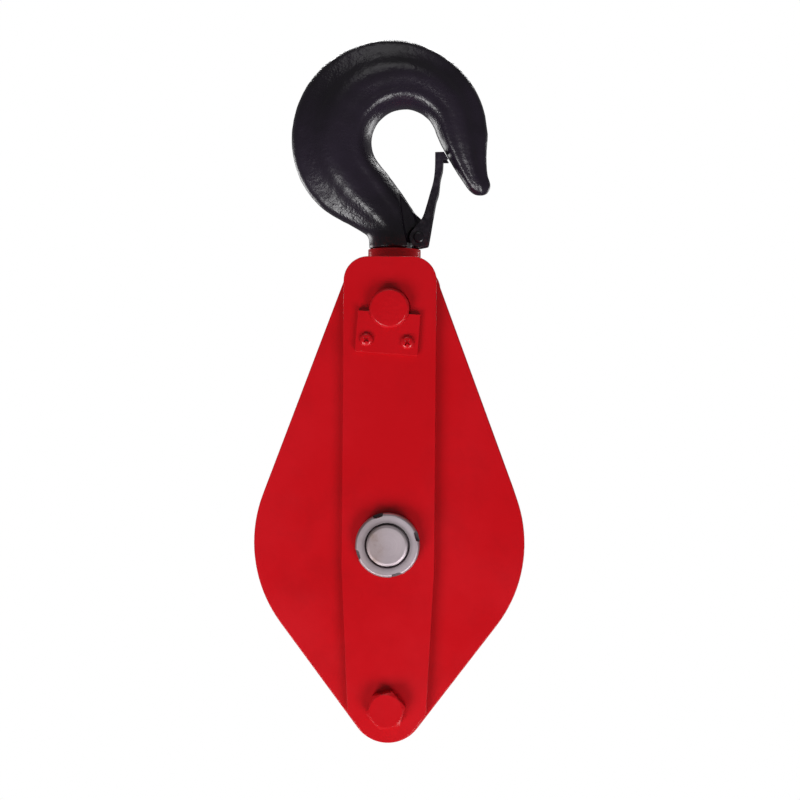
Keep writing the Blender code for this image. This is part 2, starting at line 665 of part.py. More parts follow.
def make_keepers():
    """A keeper plate each side with its two screws."""
    for name, side in sides():
        plate = plate_mesh(
            [keeper_outline()] + [circle(place, SCREW_RADIUS + GAP, 12) for place in screw_places()],
            *span(side, FITTING_NEAR, FITTING_NEAR + KEEPER_THICKNESS),
        )
        add(f"{name}_keeper_plate", plate, RED)
        for which, place in zip(("left", "right"), screw_places()):
            screw = add(f"{name}_keeper_screw_{which}", screw_mesh(side, place), RED, (place[0], 0, place[1]))
            combine(screw, "DIFFERENCE", f"cut_{name}_{which}_cross", cross_mesh(side, place))


def make_tie_bolt():
    """The bolt through the lower ends, with spacer tubes that keep the plates apart."""
    centre = (0.0, BOLT_Z)
    ends = span(-1, FITTING_NEAR, FITTING_NEAR + BOLT_HEAD)
    head = plate_mesh([hexagon(centre, HEX_FLATS, -BOLT_TURN)], *ends)
    bolt = add("tie_bolt", head, RED, (0, 0, BOLT_Z))
    shank = turned_mesh(rod(BOLT_RADIUS, -FITTING_NEAR - BOLT_HEAD / 2, BOLT_REACH, BOLT_CHAMFER), "Y", 24)
    bmesh.ops.translate(shank, vec=(0, 0, BOLT_Z), verts=shank.verts)
    combine(bolt, "UNION", "join_bolt_shank", shank)
    hole = circle(centre, BOLT_RADIUS + GAP, 24)
    washer_far = FITTING_NEAR + WASHER_THICKNESS
    washer = plate_mesh([circle(centre, WASHER_RADIUS, 32), hole], FITTING_NEAR, washer_far)
    add("tie_bolt_washer", washer, RED, (0, 0, BOLT_Z))
    nut_near = washer_far + GAP
    nut = plate_mesh([hexagon(centre, HEX_FLATS, BOLT_NUT_TURN), hole], nut_near, nut_near + BOLT_NUT)
    add("tie_bolt_nut", nut, RED, (0, 0, BOLT_Z))
    for name, side in sides():
        near, far = MIDDLE_THICKNESS / 2 + GAP, CHEEK_NEAR - GAP
        spacer = plate_mesh([circle(centre, SPACER_RADIUS, 28), hole], *span(side, near, far))
        add(f"{name}_spacer_tube", spacer, STEEL, (0, 0, BOLT_Z))


# ---------------------------------------------------------------- axle and sheaves


def make_axle():
    """The shouldered axle and the slotted round nut on each end."""
    shoulder = CHEEK_NEAR - GAP
    nut_face = FITTING_NEAR + AXLE_NUT_HEIGHT
    end = nut_face + AXLE_STANDS_PROUD
    half = [(JOURNAL_RADIUS, shoulder), (AXLE_END_RADIUS, shoulder), (AXLE_END_RADIUS, nut_face)]
    half += [(AXLE_TIP_RADIUS, nut_face), (AXLE_TIP_RADIUS, end - AXLE_CHAMFER)]
    half += [(AXLE_TIP_RADIUS - AXLE_CHAMFER, end), (0, end)]
    profile = [(radius, -height) for radius, height in reversed(half)] + half
    axle = turned_mesh(profile, "Y")
    bmesh.ops.translate(axle, vec=(0, 0, AXLE_Z), verts=axle.verts)
    add("axle", axle, STEEL, (0, 0, AXLE_Z))
    for name, side in sides():
        ring = tube(AXLE_NUT_RADIUS, AXLE_END_RADIUS + GAP, FITTING_NEAR, nut_face)
        bm = turned_mesh([(radius, side * height) for radius, height in ring], "Y", 48)
        bmesh.ops.translate(bm, vec=(0, 0, AXLE_Z), verts=bm.verts)
        nut = add(f"{name}_axle_nut", bm, STEEL, (0, 0, AXLE_Z))
        for quarter in range(4):
            combine(nut, "DIFFERENCE", f"cut_{name}_slot_{quarter}", nut_slot(side, quarter, nut_face))


def nut_slot(side, quarter, nut_face):
    """One of the four spanner slots in an axle nut, cut from its outer face."""
    width, depth, height = AXLE_NUT_SLOT
    inside, outside = AXLE_NUT_RADIUS - depth, AXLE_NUT_RADIUS + depth
    block = [(inside, -width / 2), (outside, -width / 2), (outside, width / 2), (inside, width / 2)]
    points = turned_points(block, -AXLE_NUT_TURN - math.tau * quarter / 4)
    loop = [(x, AXLE_Z + z) for x, z in points]
    return plate_mesh([loop], *span(side, nut_face - height, nut_face + height))


def sheave_profile(middle):
    """Half of the sheave's section mirrored about its middle, with a round rope groove."""
    centre = GROOVE_BOTTOM + GROOVE_RADIUS
    steps = GROOVE_STEPS
    sweep = math.pi / 2 - GROOVE_FLANK
    groove = []
    for index in range(steps + 1):
        angle = sweep * index / steps
        groove.append((centre - GROOVE_RADIUS * math.cos(angle), GROOVE_RADIUS * math.sin(angle)))
    last_radius, last_half = groove[-1]
    lip = last_half + (SHEAVE_RADIUS - last_radius) * math.tan(GROOVE_FLANK)
    half = groove + [(SHEAVE_RADIUS, lip), (SHEAVE_RADIUS, RIM_HALF), (RIM_INNER, RIM_HALF)]
    half += [(RIM_INNER - RIM_DRAFT, WEB_HALF), (HUB_RADIUS + HUB_DRAFT, WEB_HALF)]
    half += [(HUB_RADIUS, HUB_WIDTH / 2), (BUSH_RADIUS + GAP, HUB_WIDTH / 2)]
    mirrored = [(radius, -height) for radius, height in half[1:]]
    return [(radius, middle + height) for radius, height in half + mirrored[::-1]]


def make_sheaves():
    """Two grooved sheaves on bronze bushes, each turning about the axle."""
    for name, side in sides():
        hinge = joint_empty(f"{name}_sheave_axis", (0, 0, AXLE_Z))
        near, far = span(side, SHEAVE_NEAR, SHEAVE_FAR)
        wheel = turned_mesh(sheave_profile((near + far) / 2), "Y", SHEAVE_STEPS)
        bush = turned_mesh(tube(BUSH_RADIUS, JOURNAL_RADIUS + GAP, near, far), "Y")
        for label, bm, finish in (("sheave", wheel, IRON), ("bush", bush, BRONZE)):
            bmesh.ops.translate(bm, vec=(0, 0, AXLE_Z), verts=bm.verts)
            add(f"{name}_{label}", bm, finish, hinge.location, hinge)


def main():
    for thing in list(bpy.data.objects):
        bpy.data.objects.remove(thing)
    make_hook()
    make_latch()
    make_crosshead()
    make_bearing()
    make_hook_nut()
    make_plates()
    make_keepers()
    make_tie_bolt()
    make_axle()
    make_sheaves()
    bpy.context.view_layer.update()


main()
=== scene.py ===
"""Looks of a double sheave block with a swivelling safety hook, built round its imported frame."""

import json
import math

import bmesh
import bpy
from mathutils import Matrix, Vector, noise


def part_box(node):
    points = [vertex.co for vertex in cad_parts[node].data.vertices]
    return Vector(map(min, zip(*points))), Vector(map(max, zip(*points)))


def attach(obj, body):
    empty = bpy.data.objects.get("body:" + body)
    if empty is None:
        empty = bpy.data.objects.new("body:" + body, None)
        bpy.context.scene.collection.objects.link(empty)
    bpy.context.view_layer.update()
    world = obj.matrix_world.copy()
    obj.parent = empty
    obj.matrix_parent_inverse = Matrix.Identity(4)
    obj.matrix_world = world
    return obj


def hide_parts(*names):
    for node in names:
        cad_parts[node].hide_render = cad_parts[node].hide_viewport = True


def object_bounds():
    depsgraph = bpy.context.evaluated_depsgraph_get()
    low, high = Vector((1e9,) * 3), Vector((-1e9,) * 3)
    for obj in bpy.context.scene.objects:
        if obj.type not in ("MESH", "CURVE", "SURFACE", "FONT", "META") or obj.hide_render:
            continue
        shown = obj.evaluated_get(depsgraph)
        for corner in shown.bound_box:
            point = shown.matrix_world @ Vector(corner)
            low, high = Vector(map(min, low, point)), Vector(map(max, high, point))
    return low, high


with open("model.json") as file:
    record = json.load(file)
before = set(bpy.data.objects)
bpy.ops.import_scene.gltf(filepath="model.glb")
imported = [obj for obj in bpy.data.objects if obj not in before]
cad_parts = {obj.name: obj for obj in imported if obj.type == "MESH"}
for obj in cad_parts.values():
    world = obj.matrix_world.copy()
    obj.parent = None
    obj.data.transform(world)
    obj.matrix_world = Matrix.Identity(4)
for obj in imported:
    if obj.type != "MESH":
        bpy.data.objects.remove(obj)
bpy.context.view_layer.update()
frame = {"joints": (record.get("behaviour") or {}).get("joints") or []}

MM = 0.001
GAP = 0.3 * MM
SAME_PLACE = 1e-7


# ---------------------------------------------------------------- places, read from the frame


def middle(node):
    """Centre of a CAD node's box."""
    low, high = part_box(node)
    return (low + high) / 2


def reach(node):
    """Size of a CAD node's box along X, Y and Z."""
    low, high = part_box(node)
    return high - low


def joint_place(name):
    """A point on a joint's axis."""
    record = next(joint for joint in frame["joints"] if joint["name"] == name)
    return Vector(record["pos_m"])


AXLE_Z = joint_place("front_sheave_spin").z
TRUNNION_Z = joint_place("block_rock").z
BOLT_Z = middle("tie_bolt_washer").z
PIVOT = Vector((joint_place("latch_hinge").x, joint_place("latch_hinge").z))
BALL_Z = joint_place("bearing_cage_orbit").z
SIDES = (("front", -1), ("rear", 1))
AXLE_TIP_RADIUS = 14.3 * MM


# ---------------------------------------------------------------- outlines


def arc(centre, radius, start, end, steps):
    """Points on an arc between two angles in degrees, both ends included."""
    angles = (math.radians(start + (end - start) * i / steps) for i in range(steps + 1))
    return [(centre[0] + radius * math.cos(a), centre[1] + radius * math.sin(a)) for a in angles]


def circle(centre, radius, steps=64):
    """Points round a whole circle."""
    return arc(centre, radius, 0, 360, steps)[:-1]


def belt(circles, degrees_per_step=3):
    """The outline of a belt run counter-clockwise round the given circles."""
    normals = []
    for (ax, az, ar), (bx, bz, br) in zip(circles, circles[1:] + circles[:1]):
        along = math.atan2(bz - az, bx - ax)
        normals.append(math.degrees(along - math.acos((ar - br) / math.hypot(bx - ax, bz - az))))
    points = []
    for index, (x, z, radius) in enumerate(circles):
        start = normals[index - 1]
        sweep = (normals[index] - start) % 360
        points += arc((x, z), radius, start, start + sweep, max(1, round(sweep / degrees_per_step)))
    return points


def turned_points(points, angle):
    """The points turned clockwise, as seen from the front."""
    c, s = math.cos(angle), math.sin(angle)
    return [(x * c + z * s, z * c - x * s) for x, z in points]


def millimetres(points):
    """Points given in millimetres, as metres."""
    return [tuple(Vector(point) * MM) for point in points]


def both_ways(half):
    """A turned section's half, with its mirror image on the other side of the centre."""
    return [(radius, -height) for radius, height in reversed(half)] + half


def eased(points, radius, closed=False):
    """The outline with each corner rounded off."""
    steps = 4
    result = []
    count = len(points)
    for index, corner in enumerate(points):
        if not closed and index in (0, count - 1):
            result.append(corner)
            continue
        corner = Vector(corner)
        before = Vector(points[index - 1])
        after = Vector(points[(index + 1) % count])
        back = min(radius, 0.45 * (before - corner).length)
        ahead = min(radius, 0.45 * (after - corner).length)
        start = corner + (before - corner).normalized() * back
        end = corner + (after - corner).normalized() * ahead
        for step in range(steps + 1):
            t = step / steps
            result.append(tuple(start.lerp(corner, t).lerp(corner.lerp(end, t), t)))
    return result


def flowing(points, steps=6):
    """A smooth curve through the points."""
    ends = [points[0], *points, points[-1]]
    result = []
    for a, b, c, d in zip(ends, ends[1:], ends[2:], ends[3:]):
        a, b, c, d = Vector(a), Vector(b), Vector(c), Vector(d)
        for step in range(steps):
            t = step / steps
            pull = (c - a) * t + (2 * a - 5 * b + 4 * c - d) * t * t + (3 * b - a - 3 * c + d) * t ** 3
            result.append(tuple(b + pull / 2))
    return result + [tuple(points[-1])]


def hexagon(centre, flats, turn):
    """A hexagon of the given size across its flats."""
    corners = circle((0.0, 0.0), flats / 2 / math.cos(math.pi / 6), 6)
    return [(centre[0] + x, centre[1] + z) for x, z in turned_points(corners, turn)]


def ring_section(inner, outer, low, high, ease=0.4 * MM):
    """The eased section of a ring or tube, for turning."""
    return eased([(inner, low), (outer, low), (outer, high), (inner, high)], ease, closed=True)


def rod_section(radius, low, high, chamfer):
    """The section of a rod with chamfered ends, for turning."""
    thin = radius - chamfer
    side = [(thin, low), (radius, low + chamfer), (radius, high - chamfer), (thin, high)]
    return eased([(0, low), *side, (0, high)], 0.2 * MM)


def threaded(radius, low, high, pitch):
    """Rings of thread on a section between two heights."""
    count = max(1, round((high - low) / pitch))
    depth = 0.55 * pitch
    points = []
    for index in range(count):
        start = low + (high - low) * index / count
        points += [(radius, start), (radius - depth, start + 0.45 * pitch), (radius, start + 0.9 * pitch)]
    return points


# ---------------------------------------------------------------- solids


def plate(loops, near, far, edge=0.5 * MM, segments=3):
    """A flat plate between two Y values with rounded edges; loops after the first are holes."""
    bm = bmesh.new()
    for loop in loops:
        ring = [bm.verts.new((x, near, z)) for x, z in loop]
        for first, second in zip(ring, ring[1:] + ring[:1]):
            bm.edges.new((first, second))
    bmesh.ops.triangle_fill(bm, use_beauty=True, edges=bm.edges[:])
    swept = bmesh.ops.extrude_face_region(bm, geom=bm.faces[:])["geom"]
    moved = [item for item in swept if isinstance(item, bmesh.types.BMVert)]
    bmesh.ops.translate(bm, verts=moved, vec=(0, far - near, 0))
    bmesh.ops.recalc_face_normals(bm, faces=bm.faces)
    bmesh.ops.dissolve_limit(bm, angle_limit=math.radians(0.5), verts=bm.verts, edges=bm.edges)
    if edge:
        level = [e for e in bm.edges if abs(e.verts[0].co.y - e.verts[1].co.y) < SAME_PLACE]
        rims = [e for e in level if e.calc_face_angle(0) > 1]
        bmesh.ops.bevel(
            bm, geom=rims, offset=edge, offset_type="OFFSET", segments=segments, profile=0.5,
            affect="EDGES", material=-1, clamp_overlap=True,
        )
    return bm


def turned(section, axis="Z", steps=96, place=(0, 0, 0)):
    """A section of (radius, height) points turned about Z, X or Y and moved to its place."""
    bm = bmesh.new()
    points = [bm.verts.new((radius, 0, height)) for radius, height in section]
    pairs = list(zip(points, points[1:]))
    if section[0][0] > 0:
        pairs.append((points[-1], points[0]))
    edges = [bm.edges.new(pair) for pair in pairs]
    bmesh.ops.spin(
        bm, geom=points + edges, cent=(0, 0, 0), axis=(0, 0, 1), angle=math.tau, steps=steps, use_merge=True
    )
    bmesh.ops.remove_doubles(bm, verts=bm.verts, dist=1e-6)
    bmesh.ops.recalc_face_normals(bm, faces=bm.faces)
    if axis == "Y":
        bmesh.ops.transform(bm, matrix=Matrix.Rotation(-math.pi / 2, 4, "X"), verts=bm.verts)
    if axis == "X":
        bmesh.ops.transform(bm, matrix=Matrix.Rotation(math.pi / 2, 4, "Y"), verts=bm.verts)
    bmesh.ops.translate(bm, vec=place, verts=bm.verts)
    return bm


def laid_flat(bm, height):
    """A plate made standing in XZ, laid flat with its far side at the given height."""
    bmesh.ops.transform(bm, matrix=Matrix.Rotation(-math.pi / 2, 4, "X"), verts=bm.verts)
    bmesh.ops.translate(bm, vec=(0, 0, height), verts=bm.verts)
    return bm


def brick(size, place):
    """A plain block round a place."""
    bm = bmesh.new()
    bmesh.ops.create_cube(bm, size=1)
    bmesh.ops.scale(bm, vec=size, verts=bm.verts)
    bmesh.ops.translate(bm, vec=place, verts=bm.verts)
    return bm


def pin_drill(axis, place, half, steps):
    """A drill that clears a pin, for its hole."""
    return turned(rod_section(PIN_RADIUS + GAP, -half, half, 0.1 * MM), axis, steps, place)


def thing(name, bm):
    """An object made of the mesh, with its place in the mesh."""
    mesh = bpy.data.meshes.new(name)
    bm.to_mesh(mesh)
    bm.free()
    made = bpy.data.objects.new(name, mesh)
    bpy.context.scene.collection.objects.link(made)
    return made


def settle(piece):
    """Fix the piece's modifiers into its mesh."""
    bpy.context.view_layer.update()
    graph = bpy.context.evaluated_depsgraph_get()
    mesh = bpy.data.meshes.new_from_object(piece.evaluated_get(graph))
    mesh.name = piece.name
    piece.modifiers.clear()
    piece.data = mesh


def carve(piece, how, *tools):
    """Cut solids from a piece, join them on, or keep only what they share."""
    helpers = [thing("tool", bm) for bm in tools]
    for helper in helpers:
        step = piece.modifiers.new("carve", "BOOLEAN")
        step.operation = how
        step.solver = "EXACT"
        step.object = helper
    settle(piece)
    for helper in helpers:
        bpy.data.objects.remove(helper)


def round_edges(piece, width, segments=2, angle=35):
    """Break the sharp edges that carving leaves."""
    step = piece.modifiers.new("edges", "BEVEL")
    step.width = width
    step.segments = segments
    step.limit_method = "ANGLE"
    step.angle_limit = math.radians(angle)
    settle(piece)


def forge(piece, voxel, passes):
    """Melt a carved solid into one soft forged skin."""
    step = piece.modifiers.new("skin", "REMESH")
    step.mode = "VOXEL"
    step.voxel_size = voxel
    settle(piece)
    bm = bmesh.new()
    bm.from_mesh(piece.data)
    for _ in range(passes):
        bmesh.ops.smooth_vert(
            bm, verts=bm.verts, factor=0.5, use_axis_x=True, use_axis_y=True, use_axis_z=True
        )
    bm.to_mesh(piece.data)
    bm.free()


def unevenness(piece, size, height):
    """Raise and sink a forged skin a little, the way dies and scale leave it."""
    bm = bmesh.new()
    bm.from_mesh(piece.data)
    bm.normal_update()
    moves = []
    for vert in bm.verts:
        spot = vert.co / size
        lift = noise.noise(spot) + 0.5 * noise.noise(spot * 2.3)
        moves.append(vert.normal * lift * height)
    for vert, move in zip(bm.verts, moves):
        vert.co += move
    bm.to_mesh(piece.data)
    bm.free()


def present(piece, body, nodes, material, sharp=38, weighted=True):
    """Shade a finished piece, give it its material and body, and hide the nodes it stands for."""
    mesh = piece.data
    mesh.shade_smooth()
    mesh.set_sharp_from_angle(angle=math.radians(sharp))
    if weighted:
        step = piece.modifiers.new("flat_faces", "WEIGHTED_NORMAL")
        step.keep_sharp = True
    mesh.materials.clear()
    mesh.materials.append(material)
    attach(piece, body)
    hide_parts(*nodes)


def present_red(piece, node):
    """Present a piece of the frame in red plate paint."""
    present(piece, "frame", [node], RED_PLATE)


# ---------------------------------------------------------------- wiring of shaders


class Wiring:
    """Short ways to place nodes in one tree and to wire them on the same coordinates."""

    def __init__(self, tree, vector=None):
        self.tree = tree
        self.vector = vector

    def feed(self, socket, value):
        """Wire a socket to another one, or give it a plain value."""
        if isinstance(value, bpy.types.NodeSocket):
            self.tree.links.new(value, socket)
        else:
            socket.default_value = value

    def place(self, kind, **inputs):
        """A node with its inputs fed."""
        node = self.tree.nodes.new("ShaderNode" + kind)
        for name, value in inputs.items():
            self.feed(node.inputs[name], value)
        return node

    def noise(self, scale, detail=4.0, rough=0.55, vector=None):
        """A noise texture on the tree's coordinates, or on the given ones."""
        node = self.place("TexNoise", Scale=scale, Detail=detail, Roughness=rough)
        self.feed(node.inputs["Vector"], vector or self.vector)
        return node.outputs["Fac"]

    def math(self, operation, first, second=None, clamp=False):
        """A math node on one or two sockets or numbers."""
        node = self.place("Math")
        node.operation = operation
        node.use_clamp = clamp
        self.feed(node.inputs[0], first)
        if second is not None:
            self.feed(node.inputs[1], second)
        return node.outputs[0]

    def times(self, first, second, clamp=False):
        """Two values multiplied."""
        return self.math("MULTIPLY", first, second, clamp)

    def plus(self, first, second):
        """Two values added."""
        return self.math("ADD", first, second)

    def spread(self, value, low, high, to_low=0.0, to_high=1.0):
        """Map a value between two limits onto another range, with soft ends."""
        node = self.place("MapRange")
        node.interpolation_type = "SMOOTHSTEP"
        names = ("Value", "From Min", "From Max", "To Min", "To Max")
        for name, given in zip(names, (value, low, high, to_low, to_high)):
            self.feed(node.inputs[name], given)
        return node.outputs["Result"]

    def axes(self, vector=None):
        """The X, Y and Z of the tree's coordinates, or of the given ones."""
        return self.place("SeparateXYZ", Vector=vector or self.vector).outputs

    def from_axis(self):
        """How far each place is from the local Y axis."""
        flat = self.place("VectorMath")
        flat.operation = "MULTIPLY"
        self.feed(flat.inputs[0], self.vector)
        self.feed(flat.inputs[1], (1, 0, 1))
        length = self.place("VectorMath")
        length.operation = "LENGTH"
        self.feed(length.inputs[0], flat.outputs["Vector"])
        return length.outputs["Value"]


class Effect(Wiring):
    """A shader group under construction: value inputs with their defaults, and value outputs."""

    def __init__(self, name, inputs, outputs):
        group = bpy.data.node_groups.new(name, "ShaderNodeTree")
        group.interface.new_socket(name="Vector", in_out="INPUT", socket_type="NodeSocketVector")
        for title, value in inputs.items():
            socket = group.interface.new_socket(name=title, in_out="INPUT", socket_type="NodeSocketFloat")
            socket.default_value = value
        for title in outputs:
            group.interface.new_socket(name=title, in_out="OUTPUT", socket_type="NodeSocketFloat")
        self.given = group.nodes.new("NodeGroupInput").outputs
        self.result = group.nodes.new("NodeGroupOutput").inputs
        super().__init__(group, self.given["Vector"])

    def give(self, **values):
        """Feed the group's outputs and return the finished group."""
        for name, value in values.items():
            self.feed(self.result[name], value)
        return self.tree


def paint_film():
    """Sprayed paint: a slow ripple, a fine peel, and a mask that drifts over the surface."""
    film = Effect("paint_film", {"Ripple": 60.0, "Peel": 600.0}, ("Height", "Drift"))
    peel = film.times(film.noise(film.given["Peel"], 2.0), 0.22)
    height = film.plus(film.noise(film.given["Ripple"], 2.0), peel)
    return film.give(Height=height, Drift=film.spread(film.noise(14.0, 5.0), 0.3, 0.7))


def forged_skin():
    """Forging scale: round pebbles over a lumpy ground, and a mask of where they stand proud."""
    skin = Effect("forged_skin", {"Pebble": 620.0}, ("Height", "Proud"))
    cells = skin.place("TexVoronoi")
    cells.feature = "SMOOTH_F1"
    skin.feed(cells.inputs["Smoothness"], 0.6)
    skin.feed(cells.inputs["Vector"], skin.vector)
    skin.feed(cells.inputs["Scale"], skin.given["Pebble"])
    pebble = skin.math("SUBTRACT", 1.0, cells.outputs["Distance"])
    patch = skin.spread(skin.noise(38.0, 3.0), 0.42, 0.62)
    height = skin.times(pebble, skin.plus(skin.times(patch, 0.8), 0.35))
    height = skin.plus(height, skin.times(skin.noise(170.0, 5.0, 0.6), 1.1))
    height = skin.plus(height, skin.times(skin.noise(1500.0, 3.0), 0.15))
    return skin.give(Height=height, Proud=skin.times(patch, skin.spread(pebble, 0.5, 0.95)))


def turning_marks():
    """Tool marks left by turning about the local Y axis, and their streaky mask."""
    marks = Effect("turning_marks", {"Feed": 2200.0}, ("Height", "Streak"))
    travel = marks.plus(marks.from_axis(), marks.times(marks.axes()["Y"], 0.73))
    along = marks.place("CombineXYZ", X=travel).outputs[0]
    streak = marks.noise(marks.given["Feed"], 3.0, 0.7, along)
    return marks.give(Height=streak, Streak=marks.spread(streak, 0.35, 0.65))


def grime():
    """Dirt and stain: big soft patches broken up by specks."""
    dirt = Effect("grime", {"Size": 45.0}, ("Stain", "Specks"))
    patches = dirt.noise(dirt.given["Size"], 6.0, 0.65)
    specks = dirt.noise(900.0, 2.0)
    return dirt.give(Stain=dirt.spread(patches, 0.45, 0.72), Specks=dirt.spread(specks, 0.58, 0.70))


def rubbed_edge():
    """Where edges stick out and get rubbed, broken up so that the line isn't even."""
    edge = Effect("rubbed_edge", {"Break": 260.0}, ("Edge",))
    bend = edge.spread(edge.place("NewGeometry").outputs["Pointiness"], 0.53, 0.60)
    patchy = edge.spread(edge.noise(edge.given["Break"], 5.0), 0.42, 0.62)
    return edge.give(Edge=edge.times(bend, patchy))


def worn_rim():
    """Rub wear and painted sheen on rounded edges: where the surface turns between a piece's faces and its
    sides.
    """
    rim = Effect("worn_rim", {"Break": 260.0}, ("Rim",))
    facing = rim.math("ABSOLUTE", rim.axes(rim.place("TexCoord").outputs["Normal"])["Y"])
    oblique = rim.times(rim.spread(facing, 0.05, 0.35), rim.spread(facing, 0.985, 0.90))
    patchy = rim.spread(rim.noise(rim.given["Break"], 6.0), 0.46, 0.60)
    return rim.give(Rim=rim.times(oblique, patchy))


PAINT_FILM = paint_film()
FORGED_SKIN = forged_skin()
TURNING_MARKS = turning_marks()
GRIME = grime()
RUBBED_EDGE = rubbed_edge()
RIM_WEAR_AND_SHEEN = worn_rim()


# ---------------------------------------------------------------- materials


def linear(red, green, blue):
    """A display colour, 0 to 255, as scene linear values."""
    parts = [channel / 255 for channel in (red, green, blue)]
    return (*[part / 12.92 if part <= 0.04045 else ((part + 0.055) / 1.055) ** 2.4 for part in parts], 1)


class Finish(Wiring):
    """A material under construction, with its shader."""

    def __init__(self, name, metallic, centre=(0, 0, 0)):
        self.material = bpy.data.materials.new(name)
        self.material.use_nodes = True
        super().__init__(self.material.node_tree)
        self.shader = self.tree.nodes["Principled BSDF"]
        self.set("Metallic", metallic)
        place = self.place("TexCoord").outputs["Object"]
        shift = self.place("Mapping", Vector=place, Location=[-value for value in centre])
        self.vector = shift.outputs["Vector"]

    def use(self, group, **values):
        """Place a shader group on this material's coordinates."""
        node = self.place("Group")
        node.node_tree = group
        for name, value in {"Vector": self.vector, **values}.items():
            self.feed(node.inputs[name], value)
        return node.outputs

    def blend(self, mask, first, second):
        """Mix two colours by a mask."""
        node = self.place("Mix")
        node.data_type = "RGBA"
        for name, value in (("Factor", mask), ("A", first), ("B", second)):
            self.feed(node.inputs[name], value)
        return node.outputs["Result"]

    def set(self, name, value):
        """Feed a shader input."""
        self.feed(self.shader.inputs[name], value)

    def bump(self, height, distance, strength):
        """Feed the shader's normal from a height."""
        node = self.place("Bump", Distance=distance, Strength=strength, Height=height)
        self.set("Normal", node.outputs["Normal"])


RED_DEEP = linear(196, 5, 18)
RED_LIGHT = linear(202, 8, 23)
BLACK_DEEP = linear(17, 11, 21)
BLACK_LIGHT = linear(36, 27, 42)
OVER_SPRAY_REACH = 13 * MM
GROOVE_PLACE = abs(middle("front_sheave").y)


def red_paint(name, forged=False):
    """Glossy red paint with a faint peel, a little lighter along its edges, partly rub wear and partly
    painted sheen.
    """
    finish = Finish(name, 0.0)
    film = finish.use(PAINT_FILM, Ripple=70.0, Peel=700.0)
    colour = finish.blend(film["Drift"], RED_DEEP, RED_LIGHT)
    dulled = finish.times(finish.use(GRIME, Size=30.0)["Stain"], 0.10)
    colour = finish.blend(dulled, colour, linear(70, 10, 12))
    # Rims lightened to pink: partly rub wear, partly a painted highlight.
    worn_and_sheen_rims = finish.times(finish.use(RIM_WEAR_AND_SHEEN, Break=380.0)["Rim"], 0.10)
    finish.set("Base Color", finish.blend(worn_and_sheen_rims, colour, linear(206, 70, 78)))
    finish.set("Roughness", finish.spread(film["Drift"], 0.0, 1.0, 0.19, 0.25))
    finish.set("Specular IOR Level", 0.42)
    if forged:
        skin = finish.use(FORGED_SKIN, Pebble=420.0)
        finish.bump(finish.plus(film["Height"], skin["Height"]), 0.28 * MM, 0.6)
    else:
        finish.bump(film["Height"], 0.10 * MM, 0.6)
    return finish.material


def black_enamel(name, forged=True):
    """Black enamel over forging scale, rubbed lighter where pebbles stand proud."""
    finish = Finish(name, 0.0)
    skin = finish.use(FORGED_SKIN, Pebble=560.0)
    film = finish.use(PAINT_FILM, Ripple=90.0, Peel=900.0)
    colour = finish.blend(film["Drift"], BLACK_DEEP, BLACK_LIGHT)
    rubbed = finish.times(finish.use(RUBBED_EDGE, Break=300.0)["Edge"], 0.22)
    colour = finish.blend(rubbed, colour, linear(84, 78, 86))
    finish.set("Base Color", over_spray(finish, colour))
    finish.set("Roughness", finish.spread(skin["Proud"], 0.0, 1.0, 0.31, 0.19))
    finish.set("Specular IOR Level", 0.62)
    if forged:
        finish.bump(skin["Height"], 0.32 * MM, 0.55)
    else:
        finish.bump(film["Height"], 0.16 * MM, 0.7)
    return finish.material


def over_spray(finish, colour):
    """Red overspray that fades up the hook's neck and latch from the painted crosshead."""
    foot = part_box("crosshead")[1].z
    near = finish.spread(finish.axes()["Z"], foot, foot + OVER_SPRAY_REACH, 1.0, 0.0)
    dirt = finish.use(GRIME, Size=160.0)
    spots = finish.plus(dirt["Specks"], finish.times(dirt["Stain"], 0.45))
    mask = finish.times(near, spots, clamp=True)
    return finish.blend(finish.times(mask, 0.6), colour, linear(120, 14, 22))


def turned_steel(name, centre, stained, face=0.0):
    """Bare turned steel, mottled, with a faint brown stain, and painted shade deeper than its outer face and
    round the axle tip.
    """
    finish = Finish(name, 1.0, centre)
    marks = finish.use(TURNING_MARKS, Feed=1500.0)
    film = finish.use(PAINT_FILM, Ripple=260.0, Peel=2400.0)
    mottle = finish.plus(finish.times(film["Drift"], 0.75), finish.times(marks["Streak"], 0.25))
    colour = finish.blend(mottle, linear(172, 158, 165), linear(206, 194, 200))
    dirt = finish.use(GRIME, Size=95.0)
    axes = finish.axes()
    leftward = finish.spread(axes["X"], -11 * MM, 3 * MM, 1.0, 0.15)
    patches = finish.plus(finish.times(dirt["Stain"], 0.6), 0.4)
    stain = finish.times(finish.times(patches, leftward), stained)
    colour = finish.blend(stain, colour, linear(150, 128, 112))
    # Painted shade: darker for all that lies more than 3 mm in from the outer face, so in the nut's slots.
    painted_shade = finish.spread(finish.math("ABSOLUTE", axes["Y"]), face - 5 * MM, face - 3 * MM, 0.7, 0.0)
    radius = finish.from_axis()
    # Painted shade: a ring that darkens the nut face for 5 mm outwards from the axle tip.
    beyond = finish.spread(radius, AXLE_TIP_RADIUS, AXLE_TIP_RADIUS + 0.2 * MM)
    bore = finish.spread(radius, AXLE_TIP_RADIUS, AXLE_TIP_RADIUS + 5 * MM, 0.6, 0.0)
    painted_shade = finish.math("MAXIMUM", painted_shade, finish.times(beyond, bore))
    finish.set("Base Color", finish.blend(painted_shade, colour, linear(52, 42, 45)))
    cloudy = finish.plus(stain, finish.times(film["Drift"], 0.3))
    finish.set("Roughness", finish.spread(cloudy, 0.0, 1.0, 0.52, 0.72))
    height = finish.plus(finish.times(marks["Height"], 0.12), finish.times(film["Height"], 1.6))
    finish.bump(height, 0.06 * MM, 0.7)
    return finish.material


